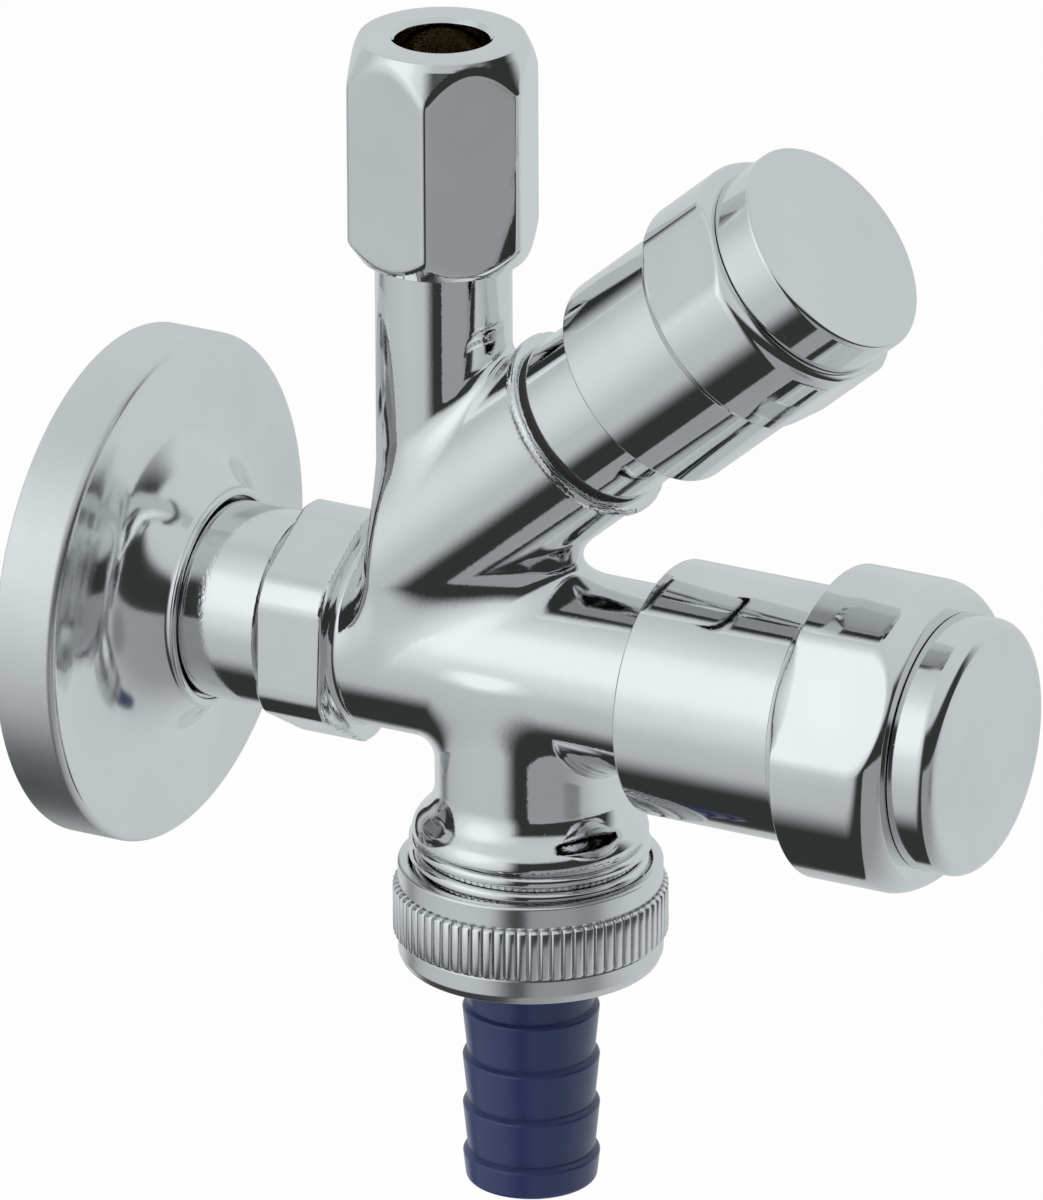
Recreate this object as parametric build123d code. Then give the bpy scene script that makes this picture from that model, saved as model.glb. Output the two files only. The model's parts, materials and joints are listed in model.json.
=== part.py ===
from build123d import *
import os
from math import cos, hypot, pi, radians, sin, tan

# Combination wall angle valve. Millimetres, +Z up, wall plane at y = 0, valve towards -Y.
# Origin on the inlet axis in the wall plane. Stations along the main axis are distances
# from the wall; stations along the inclined branch start on the main axis.

# Clearances
RUN = 0.05            # radial gap of turning and sliding fits
THREAD_GAP = 0.05     # radial gap between mating threads, which are drawn at their major size
SEAT_GAP = 0.02       # gap between faces that rest on each other

# Inlet, collar and barrel on the main axis
INLET_THREAD_R = 10.478
INLET_THREAD_BACK = 8.0
INLET_THREAD_FRONT = 6.0
INLET_BORE_R = 7.0
INLET_CHAMFER = 1.0
INLET_NECK_R = 10.9
COLLAR_START = 23.25
COLLAR_LENGTH = 8.0
COLLAR_FLATS = 24.0
COLLAR_TURNED_R = 13.1
COLLAR_CHAMFER_R = 11.8
COLLAR_CHAMFER_LENGTH = 1.2
COLLAR_EDGE = 0.4
COLLAR_ANGLE = 2.0
BARREL_R = 10.6
BARREL_END = 70.2

# Inclined branch
BRANCH_FOOT = 24.25
BRANCH_ANGLE = 40.6
BRANCH_R = 10.45
BRANCH_BALL = 23.2
BRANCH_END = 44.3
LIP_R = 11.1
LIP_LENGTH = 1.1
LIP_EDGE = 0.35
WEB_ROUND = 4.6
WEB_HALF_WIDTH = 3.5

# Top outlet, compression joint for a 10 mm pipe
TOP_STATION = 40.2
TUBE_R = 7.4
TUBE_TOP = 49.0
TUBE_FOOT_ROUND = 2.0
TOP_THREAD_R = 8.33
TOP_THREAD_END = 61.5
TOP_THREAD_LEAD = 0.8
TOP_BORE_R = 4.6
PIPE_R = 5.0
PIPE_GAP = 0.15
PIPE_SOCKET_DEPTH = 8.0
OLIVE_LENGTH = 4.6
OLIVE_CONE = 1.25
OLIVE_EDGE = 0.15
NUT_FLATS = 19.0
NUT_BOTTOM = 45.0
NUT_TOP = 69.9
NUT_CORNER_ROUND = 0.9
NUT_FOOT_R = 9.0
NUT_FOOT_CHAMFER = 2.8
NUT_TOP_R = 9.5
NUT_TOP_CHAMFER = 1.1
NUT_ANGLE = -12.4
NUT_BORE_CHAMFER = 0.5
NUT_ROOM = 0.6

# Bottom outlet, G3/4
BOTTOM_STATION = 50.5
OUTLET_NECK_STEP = 0.25
OUTLET_NECK_END = 16.3
OUTLET_FOOT_ROUND = 1.5
OUTLET_FLARE_STEP = 0.32
OUTLET_FLARE_END = 19.4
OUTLET_FLARE_ROUND = 0.8
OUTLET_THREAD_R = 13.22
OUTLET_THREAD_START = 20.4
OUTLET_END = 29.5
OUTLET_THREAD_LEAD = 0.6
OUTLET_BORE_R = 6.0
CHECK_POCKET_R = 8.0
CHECK_POCKET_START = 17.0

# Union nut and hose nozzle
UNION_TOP = 23.3
UNION_BOTTOM = 34.8
UNION_WALL = 1.18
UNION_KNURL_RISE = 0.55
UNION_KNURL_TOP = 25.9
UNION_KNURL_BOTTOM = 31.7
UNION_FOOT_STEP = 0.45
UNION_FOOT_CHAMFER = 0.9
UNION_LIP = 1.6
UNION_EDGE = 0.25
HOSE_WASHER_T = 1.7
HOSE_WASHER_OVERLAP = 0.5
NOZZLE_FLANGE_ROOM = 0.87
NOZZLE_VALLEY_R = 6.95
BARB_R = 7.5
BARB_PITCH = 5.72
BARB_COUNT = 4
FIRST_BARB = 40.7
BARB_STEP = 0.45
BARB_EDGE = 0.12
UNION_LIP_GAP = 0.5
NOZZLE_END = 61.1
NOZZLE_END_R = 7.1
NOZZLE_BORE_R = 5.0
NOZZLE_EDGE = 0.5

# Check valve cartridge
CHECK_WALL = 2.2
CHECK_TOP_T = 2.2
CHECK_SEAT_R = 3.6
CHECK_SEAT_CONE = 0.8
CHECK_RING_SECTION_R = 0.7
CHECK_RING_DEPTH = 4.5
POPPET_R = 4.5
POPPET_T = 1.3
POPPET_NOSE = 1.0
POPPET_STEM_R = 1.2
GUIDE_T = 1.5
GUIDE_SPOKES = 3
GUIDE_SPOKE_WIDTH = 1.4
GUIDE_BOSS_R = 2.6
GUIDE_RIM = 0.8
SPRING_WIRE_R = 0.3
SPRING_COIL_R = 2.2
SPRING_TURNS = 5

# Wall rosette, a pressed sheet
ROSETTE_R = 28.3
ROSETTE_SHEET = 0.9
ROSETTE_FACE = 7.4
ROSETTE_RIM_ROUND = 2.0
ROSETTE_DISH = 6.7
ROSETTE_THROAT_ROUND = 6.0
ROSETTE_END = 13.2
ROSETTE_GAP = 0.3
LIP_SHARE = 0.45       # rounding of the throat's edge, as a share of the sheet

# Seats of both heads: the passage, the lip round it and the chamber floor
SEAT_LIP_HEIGHT = 1.2
SEAT_LIP_WALL = 1.2
SEAT_WEB = 6.2
BONNET_ROOM = 0.4

# Upper head, on the inclined branch; stations start at the branch's foot
UPPER_SEAT = 19.2
UPPER_SEAT_R = 3.5
UPPER_CHAMBER_R = 6.0
UPPER_BONNET_DEPTH = 8.7
UPPER_BONNET_R = 8.0
UPPER_NECK_R = 9.9
UPPER_NECK_LENGTH = 12.7
UPPER_SKIRT_GAP = 9.3
UPPER_SKIRT_R = 12.4
UPPER_SKIRT_WALL = 1.2
UPPER_SKIRT_LENGTH = 12.8
UPPER_GRIP_RISE = 1.5
UPPER_GRIP_LENGTH = 8.2
UPPER_GRIP_R = 13.9
UPPER_FLAT = 12.86
UPPER_FLAT_ANGLE = 37.0
UPPER_FLAT_RISE = 1.0
UPPER_SHOULDER = 1.5
UPPER_CAP_STEP = 1.8
UPPER_CAP_HEIGHT = 5.0
UPPER_CAP_R = 12.25
UPPER_CAP_ROUND = 0.6
UPPER_SPIGOT_R = 9.4
UPPER_WEB_T = 4.5
UPPER_LEAD = 1.25

# Lower head, on the barrel; stations start at the wall
LOWER_SEAT = 47.7
LOWER_SEAT_R = 4.5
LOWER_CHAMBER_R = 8.1
LOWER_BONNET_DEPTH = 10.7
LOWER_BONNET_R = 8.6
LOWER_NECK_R = 10.4
LOWER_NECK_LENGTH = 9.8
LOWER_SKIRT_OVERLAP = 2.35
LOWER_SKIRT_R = 14.0
LOWER_SKIRT_WALL = 1.3
LOWER_SKIRT_LENGTH = 18.5
LOWER_GRIP_RISE = 2.05
LOWER_GRIP_LENGTH = 8.9
LOWER_GRIP_R = 17.1
LOWER_FLAT = 15.8
LOWER_FLAT_ANGLE = 29.6
LOWER_FLAT_RISE = 3.05
LOWER_SHOULDER = 4.4
LOWER_CAP_STEP = 3.9
LOWER_CAP_HEIGHT = 4.95
LOWER_CAP_R = 14.0
LOWER_CAP_ROUND = 1.3
LOWER_SPIGOT_R = 10.8
LOWER_WEB_T = 5.0
LOWER_LEAD = 1.4

# Sizes that both heads share
GRIP_FLATS = 3
SKIRT_EDGE = 0.4
SEAL_T = 0.6
BONNET_LEAD = 0.6
NOSE_TAPER = 2.0
NECK_EDGE = 0.3
WASHER_T = 2.6
WASHER_MARGIN = 0.8
PLUNGER_FLANGE_T = 2.4
PLUNGER_STEM_R = 4.7
PLUNGER_STEM_FLAT = 4.0
PLUNGER_TOP_GAP = 1.0
SPINDLE_THREAD_R = 3.0
SPINDLE_LEAD = 0.4
SPINDLE_SHAFT_R = 4.0
SPINDLE_COLLAR_R = 5.4
SPINDLE_COLLAR_T = 1.8
SPINDLE_SQUARE = 5.4
SPINDLE_TIP_ROOM = 0.5
CLIP_T = 0.9
CLIP_WALL = 1.3
CLIP_GROOVE_DEPTH = 0.7
CLIP_OPENING = 70.0
SPINDLE_NECK_R = 3.0
ORING_SECTION_R = 0.75
GUIDE_LENGTH = 10.4
SHAFT_LENGTH = 5.0
SCREW_R = 2.0
SCREW_HEAD_R = 4.6
SCREW_HEAD_T = 2.2
SCREW_SLOT = 0.9
SCREW_LENGTH = 9.0
SCREW_ROOM = 0.5
SCREW_EDGE = 0.5
HUB_R = 6.2
WASHER_SCREW_R = 1.5
WASHER_SCREW_HEAD_R = 2.6
WASHER_SCREW_HEAD_T = 1.3
WASHER_SCREW_LENGTH = 3.4
WASHER_SCREW_ROOM = 1.0
HUB_GAP = 1.0
CAP_GAP = 0.25
CAP_FOOT_EDGE = 0.2
FLAT_RAMP = 0.2
CAP_WALL = 1.6
SPIGOT_WALL = 1.2
SPIGOT_LENGTH = 5.0
HANDLE_TURNS = 2.5
NOSE_R = 7.0
OVERRUN = 1.0         # how far a cut runs past a face, or a boss into its parent


def profile(*points):
    """Closed section in the radius and height plane; a third value rounds its corner."""
    corners = [(p[0], p[1], p[2] if len(p) > 2 else 0.0) for p in points]
    count = len(corners)
    starts, ends, middles = [], [], []
    for i, (x, y, rounding) in enumerate(corners):
        before = corners[i - 1]
        after = corners[(i + 1) % count]
        back = Vector(before[0] - x, before[1] - y).normalized()
        ahead = Vector(after[0] - x, after[1] - y).normalized()
        here = Vector(x, y)
        if rounding <= 0.0:
            starts.append(here)
            ends.append(here)
            middles.append(None)
            continue
        half = radians(back.get_angle(ahead)) / 2
        reach = rounding / tan(half)
        bisector = (back + ahead).normalized()
        starts.append(here + back * reach)
        ends.append(here + ahead * reach)
        middles.append(here + bisector * (rounding / sin(half) - rounding))
    edges = []
    for i in range(count):
        following = (i + 1) % count
        if middles[i] is not None:
            edges.append(Edge.make_three_point_arc(starts[i], middles[i], ends[i]))
        if (starts[following] - ends[i]).length > 1e-6:
            edges.append(Edge.make_line(ends[i], starts[following]))
    return Face(Wire(edges))


def turned(*points):
    """Solid turned about the local Z axis from a section of radius and height."""
    section = Plane.XZ * profile(*points)
    return revolve(section, Axis.Z)


def rod(radius, start, end):
    """Cylinder on the local Z axis between two stations."""
    bar = Cylinder(radius, end - start, align=(Align.CENTER, Align.CENTER, Align.MIN))
    return Pos(0, 0, start) * bar


def tube(outer, inner, start, end):
    """Ring on the local Z axis between two stations."""
    return rod(outer, start, end) - rod(inner, start, end)


def square_bar(side, start, end):
    """Square bar on the local Z axis between two stations."""
    length = end - start
    return Pos(0, 0, start) * Box(side, side, length, align=(Align.CENTER, Align.CENTER, Align.MIN))


def hexagon(flats, start, end, angle, rounding=0.0):
    """Hexagonal bar on the local Z axis, one flat turned by the angle from local X."""
    side = flats / 2 / cos(pi / 6)
    outline = RegularPolygon(side, 6)
    if rounding > 0.0:
        outline = fillet(outline.vertices(), rounding)
    bar = extrude(outline, end - start)
    return Pos(0, 0, start) * Rot(0, 0, angle + 30) * bar


def one(shape):
    """The single solid in a result."""
    solids = shape.solids()
    return solids[0] if len(solids) == 1 else Compound(children=list(solids))


# Frames of the four axes; local X points away from the handed side, towards -X
MAIN = Plane(origin=(0, 0, 0), x_dir=(-1, 0, 0), z_dir=(0, -1, 0))
BRANCH_COS = cos(radians(BRANCH_ANGLE))
BRANCH_SIN = sin(radians(BRANCH_ANGLE))
BRANCH = Plane(
    origin=(0, -BRANCH_FOOT, 0), x_dir=(-1, 0, 0), z_dir=(0, -BRANCH_COS, BRANCH_SIN)
)
TOP = Plane(origin=(0, -TOP_STATION, 0), x_dir=(1, 0, 0), z_dir=(0, 0, 1))
BOTTOM = Plane(origin=(0, -BOTTOM_STATION, 0), x_dir=(1, 0, 0), z_dir=(0, 0, -1))

# The outlet's neck stands just inside the barrel's width
OUTLET_NECK_R = BARREL_R - OUTLET_NECK_STEP

# What the outlet's thread governs: its flare, the union nut's thread and the nozzle's flange
OUTLET_FLARE_R = OUTLET_THREAD_R - OUTLET_FLARE_STEP
UNION_THREAD_R = OUTLET_THREAD_R + THREAD_GAP
NOZZLE_FLANGE_R = UNION_THREAD_R - NOZZLE_FLANGE_ROOM

# Where the olive starts, with its cone in the mouth of the top tube
OLIVE_START = TOP_THREAD_END - OLIVE_CONE + OLIVE_EDGE + RUN


class Head:
    """Stations of one valve head along its axis, worked out from its own sizes."""

    def __init__(self, plane, body_end, seat, seat_bore, chamber_r, bonnet_depth, bonnet_bore_r,
                 neck_r, neck_length, skirt_gap, skirt_r, skirt_wall, skirt_length, grip_rise,
                 grip_length, grip_r, flat, flat_angle, flat_rise, shoulder, cap_step, cap_height,
                 cap_r, cap_round, spigot_r, web_t, lead):
        self.plane = plane
        self.body_end = body_end
        self.seat = seat
        self.seat_bore = seat_bore
        self.chamber_r = chamber_r
        self.bonnet_start = body_end - bonnet_depth
        self.bonnet_bore_r = bonnet_bore_r
        self.neck_r = neck_r
        self.nose_end = body_end + neck_length
        self.skirt_start = body_end + skirt_gap
        self.skirt_r = skirt_r
        self.skirt_bore = skirt_r - skirt_wall
        self.grip_start = self.skirt_start + skirt_length
        self.grip_full = self.grip_start + grip_rise
        self.grip_end = self.grip_full + grip_length
        self.grip_r = grip_r
        self.flat = flat
        self.flat_angle = flat_angle
        self.flat_start = self.grip_start + flat_rise
        self.shoulder = shoulder
        self.cap_start = self.grip_end + cap_step
        self.cap_end = self.cap_start + cap_height
        self.cap_r = cap_r
        self.cap_round = cap_round
        self.spigot_r = spigot_r
        self.web_end = self.grip_full + web_t / 2
        self.web_start = self.web_end - web_t
        self.lead = lead
        self.lift = HANDLE_TURNS * lead


UPPER = Head(
    plane=BRANCH, body_end=BRANCH_END, seat=UPPER_SEAT, seat_bore=UPPER_SEAT_R,
    chamber_r=UPPER_CHAMBER_R, bonnet_depth=UPPER_BONNET_DEPTH, bonnet_bore_r=UPPER_BONNET_R,
    neck_r=UPPER_NECK_R, neck_length=UPPER_NECK_LENGTH, skirt_gap=UPPER_SKIRT_GAP,
    skirt_r=UPPER_SKIRT_R, skirt_wall=UPPER_SKIRT_WALL, skirt_length=UPPER_SKIRT_LENGTH,
    grip_rise=UPPER_GRIP_RISE, grip_length=UPPER_GRIP_LENGTH, grip_r=UPPER_GRIP_R,
    flat=UPPER_FLAT, flat_angle=UPPER_FLAT_ANGLE, flat_rise=UPPER_FLAT_RISE,
    shoulder=UPPER_SHOULDER, cap_step=UPPER_CAP_STEP, cap_height=UPPER_CAP_HEIGHT,
    cap_r=UPPER_CAP_R, cap_round=UPPER_CAP_ROUND, spigot_r=UPPER_SPIGOT_R, web_t=UPPER_WEB_T,
    lead=UPPER_LEAD,
)
LOWER = Head(
    plane=MAIN, body_end=BARREL_END, seat=LOWER_SEAT, seat_bore=LOWER_SEAT_R,
    chamber_r=LOWER_CHAMBER_R, bonnet_depth=LOWER_BONNET_DEPTH, bonnet_bore_r=LOWER_BONNET_R,
    neck_r=LOWER_NECK_R, neck_length=LOWER_NECK_LENGTH, skirt_gap=-LOWER_SKIRT_OVERLAP,
    skirt_r=LOWER_SKIRT_R, skirt_wall=LOWER_SKIRT_WALL, skirt_length=LOWER_SKIRT_LENGTH,
    grip_rise=LOWER_GRIP_RISE, grip_length=LOWER_GRIP_LENGTH, grip_r=LOWER_GRIP_R,
    flat=LOWER_FLAT, flat_angle=LOWER_FLAT_ANGLE, flat_rise=LOWER_FLAT_RISE,
    shoulder=LOWER_SHOULDER, cap_step=LOWER_CAP_STEP, cap_height=LOWER_CAP_HEIGHT,
    cap_r=LOWER_CAP_R, cap_round=LOWER_CAP_ROUND, spigot_r=LOWER_SPIGOT_R, web_t=LOWER_WEB_T,
    lead=LOWER_LEAD,
)


def body_outside():
    """Outer form of the forging before its passages are bored."""
    neck = turned(
        (0, -INLET_THREAD_BACK),
        (INLET_THREAD_R - INLET_CHAMFER, -INLET_THREAD_BACK),
        (INLET_THREAD_R, INLET_CHAMFER - INLET_THREAD_BACK),
        (INLET_THREAD_R, INLET_THREAD_FRONT),
        (INLET_NECK_R, INLET_THREAD_FRONT + INLET_NECK_R - INLET_THREAD_R),
        (INLET_NECK_R, COLLAR_START + OVERRUN),
        (0, COLLAR_START + OVERRUN),
    )
    collar_end = COLLAR_START + COLLAR_LENGTH
    collar = hexagon(COLLAR_FLATS, COLLAR_START, collar_end, -COLLAR_ANGLE)
    collar &= turned(
        (0, COLLAR_START),
        (COLLAR_CHAMFER_R, COLLAR_START),
        (COLLAR_TURNED_R, COLLAR_START + COLLAR_CHAMFER_LENGTH, COLLAR_EDGE),
        (COLLAR_TURNED_R, collar_end - COLLAR_CHAMFER_LENGTH, COLLAR_EDGE),
        (COLLAR_CHAMFER_R, collar_end),
        (0, collar_end),
    )
    barrel = rod(BARREL_R, collar_end - OVERRUN, BARREL_END)
    ball_z = BRANCH_BALL * BRANCH_SIN
    ball_station = BRANCH_FOOT + BRANCH_BALL * BRANCH_COS
    stub = Pos(0, -ball_station, 0) * rod(BRANCH_R, 0, ball_z)
    ball = Pos(0, -ball_station, ball_z) * Sphere(BRANCH_R)
    branch = rod(BRANCH_R, BRANCH_BALL, BRANCH_END)
    lip = turned(
        (0, BRANCH_END - LIP_LENGTH - LIP_R + BRANCH_R),
        (BRANCH_R, BRANCH_END - LIP_LENGTH - LIP_R + BRANCH_R),
        (LIP_R, BRANCH_END - LIP_LENGTH),
        (LIP_R, BRANCH_END, LIP_EDGE),
        (0, BRANCH_END),
    )
    riser = rod(TUBE_R, 0, TUBE_TOP)
    riser += turned(
        (0, TUBE_TOP - OVERRUN),
        (TUBE_R, TUBE_TOP - OVERRUN),
        (TOP_THREAD_R, TUBE_TOP + TOP_THREAD_R - TUBE_R),
        (TOP_THREAD_R, TOP_THREAD_END - TOP_THREAD_LEAD),
        (TOP_THREAD_R - TOP_THREAD_LEAD, TOP_THREAD_END),
        (0, TOP_THREAD_END),
    )
    outlet = turned(
        (0, 0),
        (OUTLET_NECK_R, 0),
        (OUTLET_NECK_R, OUTLET_NECK_END, OUTLET_FOOT_ROUND),
        (OUTLET_FLARE_R, OUTLET_FLARE_END, OUTLET_FLARE_ROUND),
        (OUTLET_FLARE_R, OUTLET_THREAD_START),
        (OUTLET_THREAD_R, OUTLET_THREAD_START + OUTLET_THREAD_R - OUTLET_FLARE_R),
        (OUTLET_THREAD_R, OUTLET_END - OUTLET_THREAD_LEAD),
        (OUTLET_THREAD_R - OUTLET_THREAD_LEAD, OUTLET_END),
        (0, OUTLET_END),
    )
    outside = MAIN * (neck + collar + barrel)
    outside += stub
    outside += ball
    outside += BRANCH * (branch + lip)
    outside += TOP * riser
    outside += BOTTOM * outlet
    return outside


def passages(head, inlet_end):
    """Chamber, seat orifice and bonnet bore of one head, in its own frame."""
    floor = head.seat - SEAT_LIP_HEIGHT
    lip_outer = head.seat_bore + SEAT_LIP_WALL
    void = turned(
        (0, inlet_end),
        (head.seat_bore, inlet_end),
        (head.seat_bore, head.seat),
        (lip_outer, head.seat),
        (lip_outer, floor),
        (head.chamber_r, floor),
        (head.chamber_r, head.bonnet_start - BONNET_ROOM),
        (head.bonnet_bore_r, head.bonnet_start - BONNET_ROOM),
        (head.bonnet_bore_r, head.body_end + OVERRUN),
        (0, head.body_end + OVERRUN),
    )
    return head.plane * void


def web():
    """Concave web in the crotch between the inclined branch and the barrel."""
    half = radians(BRANCH_ANGLE) / 2
    reach = WEB_ROUND / tan(half)
    apex_t = (BARREL_R + BRANCH_R * BRANCH_COS) / BRANCH_SIN
    apex = Vector(BRANCH_FOOT + apex_t * BRANCH_COS + BRANCH_R * BRANCH_SIN, BARREL_R)
    on_barrel = apex + Vector(reach, 0)
    on_branch = apex + Vector(reach * BRANCH_COS, reach * BRANCH_SIN)
    centre = on_barrel + Vector(0, WEB_ROUND)
    middle = centre + (apex - centre).normalized() * WEB_ROUND
    inside = apex + Vector(0, -BARREL_R / 2)
    back = Vector(on_branch.X - BRANCH_R * BRANCH_SIN, on_branch.Y + BRANCH_R * BRANCH_COS)
    outline = Wire([
        Edge.make_three_point_arc(on_barrel, middle, on_branch),
        Edge.make_line(on_branch, back),
        Edge.make_line(back, inside),
        Edge.make_line(inside, Vector(on_barrel.X, inside.Y)),
        Edge.make_line(Vector(on_barrel.X, inside.Y), on_barrel),
    ])
    side = Plane(origin=(0, 0, 0), x_dir=(0, -1, 0), z_dir=(-1, 0, 0))
    return extrude(side * Face(outline), WEB_HALF_WIDTH, both=True)


def junction_edges(shape, plane, radius, low, high):
    """Edges that lie on a cylinder about the plane's Z axis between two stations."""
    found = []
    for edge in shape.edges():
        spots = [plane.to_local_coords(edge @ share) for share in (0.1, 0.5, 0.9)]
        on_wall = all(abs(hypot(spot.X, spot.Y) - radius) < 0.01 for spot in spots)
        if on_wall and edge.geom_type == GeomType.BSPLINE and low < spots[1].Z < high:
            found.append(edge)
    return found


def valve_body():
    """Body forging with its bored passages."""
    body = body_outside()
    body = body.fillet(TUBE_FOOT_ROUND, junction_edges(body, TOP, TUBE_R, BRANCH_R, TUBE_TOP))
    neck_foot = junction_edges(body, BOTTOM, OUTLET_NECK_R, 0, OUTLET_NECK_END)
    body = body.fillet(OUTLET_FOOT_ROUND, neck_foot)
    body += web()
    inlet_end = LOWER.seat - SEAT_LIP_HEIGHT - SEAT_WEB
    body -= MAIN * rod(INLET_BORE_R, -INLET_THREAD_BACK - OVERRUN, inlet_end)
    body -= passages(LOWER, inlet_end - OVERRUN)
    body -= passages(UPPER, INLET_BORE_R / 2)
    top_foot = (TOP_STATION - BRANCH_FOOT) * tan(radians(BRANCH_ANGLE))
    body -= TOP * rod(TOP_BORE_R, top_foot, TOP_THREAD_END + OVERRUN)
    socket_r = PIPE_R + PIPE_GAP
    body -= TOP * rod(socket_r, TOP_THREAD_END - PIPE_SOCKET_DEPTH, TOP_THREAD_END + OVERRUN)
    body -= TOP * turned(
        (0, TOP_THREAD_END - OLIVE_CONE),
        (socket_r, TOP_THREAD_END - OLIVE_CONE),
        (socket_r + OLIVE_CONE, TOP_THREAD_END),
        (0, TOP_THREAD_END),
    )
    body -= BOTTOM * rod(OUTLET_BORE_R, LOWER.chamber_r / 2, CHECK_POCKET_START + OVERRUN)
    body -= BOTTOM * rod(CHECK_POCKET_R, CHECK_POCKET_START, OUTLET_END + OVERRUN)
    return body


def wall_rosette():
    """Pressed sheet: rim, shallow dish and a throat that slides on the inlet neck."""
    bore = INLET_NECK_R + ROSETTE_GAP
    throat = bore + ROSETTE_SHEET
    inner_face = ROSETTE_FACE - ROSETTE_SHEET
    inner_dish = ROSETTE_DISH - ROSETTE_SHEET
    sheet = turned(
        (ROSETTE_R, 0),
        (ROSETTE_R, ROSETTE_FACE, ROSETTE_RIM_ROUND),
        (throat, ROSETTE_DISH, ROSETTE_THROAT_ROUND),
        (throat, ROSETTE_END, ROSETTE_SHEET * LIP_SHARE),
        (bore, ROSETTE_END, ROSETTE_SHEET * LIP_SHARE),
        (bore, inner_dish, ROSETTE_THROAT_ROUND + ROSETTE_SHEET),
        (ROSETTE_R - ROSETTE_SHEET, inner_face, ROSETTE_RIM_ROUND - ROSETTE_SHEET),
        (ROSETTE_R - ROSETTE_SHEET, 0),
    )
    return MAIN * sheet


def compression_nut():
    """Long hexagon nut that presses the olive onto the pipe."""
    far_r = NUT_FLATS / 2 / cos(pi / 6)
    bar = hexagon(NUT_FLATS, NUT_BOTTOM, NUT_TOP, NUT_ANGLE, NUT_CORNER_ROUND)
    bar &= turned(
        (0, NUT_BOTTOM),
        (NUT_FOOT_R, NUT_BOTTOM),
        (far_r, NUT_BOTTOM + NUT_FOOT_CHAMFER),
        (far_r, NUT_TOP - NUT_TOP_CHAMFER),
        (NUT_TOP_R, NUT_TOP),
        (0, NUT_TOP),
    )
    olive_top = OLIVE_START + OLIVE_LENGTH + OLIVE_EDGE + RUN
    bore = PIPE_R + PIPE_GAP
    cone = OLIVE_CONE + OLIVE_EDGE + RUN
    bar -= turned(
        (0, NUT_BOTTOM - OVERRUN),
        (TOP_THREAD_R + THREAD_GAP, NUT_BOTTOM - OVERRUN),
        (TOP_THREAD_R + THREAD_GAP, TOP_THREAD_END + NUT_ROOM),
        (bore + cone, TOP_THREAD_END + NUT_ROOM),
        (bore + cone, olive_top - cone),
        (bore, olive_top),
        (bore, NUT_TOP - NUT_BORE_CHAMFER),
        (bore + NUT_BORE_CHAMFER, NUT_TOP),
        (bore + NUT_BORE_CHAMFER, NUT_TOP + OVERRUN),
        (0, NUT_TOP + OVERRUN),
    )
    return TOP * bar


def compression_ring():
    """Olive: a soft brass ring with a cone at each end."""
    low = OLIVE_START
    high = low + OLIVE_LENGTH
    bore = PIPE_R + PIPE_GAP
    root = bore + OLIVE_EDGE
    ring = turned(
        (bore, low),
        (root, low),
        (root + OLIVE_CONE, low + OLIVE_CONE),
        (root + OLIVE_CONE, high - OLIVE_CONE),
        (root, high),
        (bore, high),
    )
    return TOP * ring


def union_nut():
    """Turned union nut; its knurl is plain here at its full diameter."""
    band_r = UNION_THREAD_R + UNION_WALL
    knurl_r = band_r + UNION_KNURL_RISE
    lip_top = UNION_BOTTOM - UNION_LIP
    lip_r = BARB_R + UNION_LIP_GAP
    nut = turned(
        (UNION_THREAD_R, UNION_TOP),
        (band_r, UNION_TOP, UNION_EDGE),
        (band_r, UNION_KNURL_TOP - UNION_KNURL_RISE),
        (knurl_r, UNION_KNURL_TOP),
        (knurl_r, UNION_KNURL_BOTTOM),
        (band_r, UNION_KNURL_BOTTOM + UNION_KNURL_RISE),
        (band_r, UNION_BOTTOM - UNION_FOOT_CHAMFER),
        (band_r - UNION_FOOT_STEP, UNION_BOTTOM),
        (lip_r, UNION_BOTTOM),
        (lip_r, lip_top),
        (UNION_THREAD_R, lip_top),
    )
    return BOTTOM * nut


def hose_washer():
    """Flat seal between the outlet's end and the nozzle's flange."""
    start = OUTLET_END + SEAT_GAP
    bore = CHECK_POCKET_R - HOSE_WASHER_OVERLAP
    return BOTTOM * tube(NOZZLE_FLANGE_R, bore, start, OUTLET_END + HOSE_WASHER_T)


def hose_nozzle():
    """Flanged nozzle whose barbs hold a hose pushed on from below."""
    flange = OUTLET_END + HOSE_WASHER_T + SEAT_GAP
    lip_top = UNION_BOTTOM - UNION_LIP
    points = [
        (NOZZLE_BORE_R, flange),
        (NOZZLE_FLANGE_R, flange),
        (NOZZLE_FLANGE_R, lip_top - SEAT_GAP),
        (NOZZLE_VALLEY_R, lip_top - SEAT_GAP),
    ]
    for barb in range(BARB_COUNT):
        peak = FIRST_BARB + barb * BARB_PITCH
        points.append((NOZZLE_VALLEY_R, peak - BARB_STEP))
        points.append((BARB_R, peak, BARB_EDGE))
    points.append((NOZZLE_END_R, NOZZLE_END, NOZZLE_EDGE))
    points.append((NOZZLE_BORE_R, NOZZLE_END))
    return BOTTOM * turned(*points)


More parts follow.
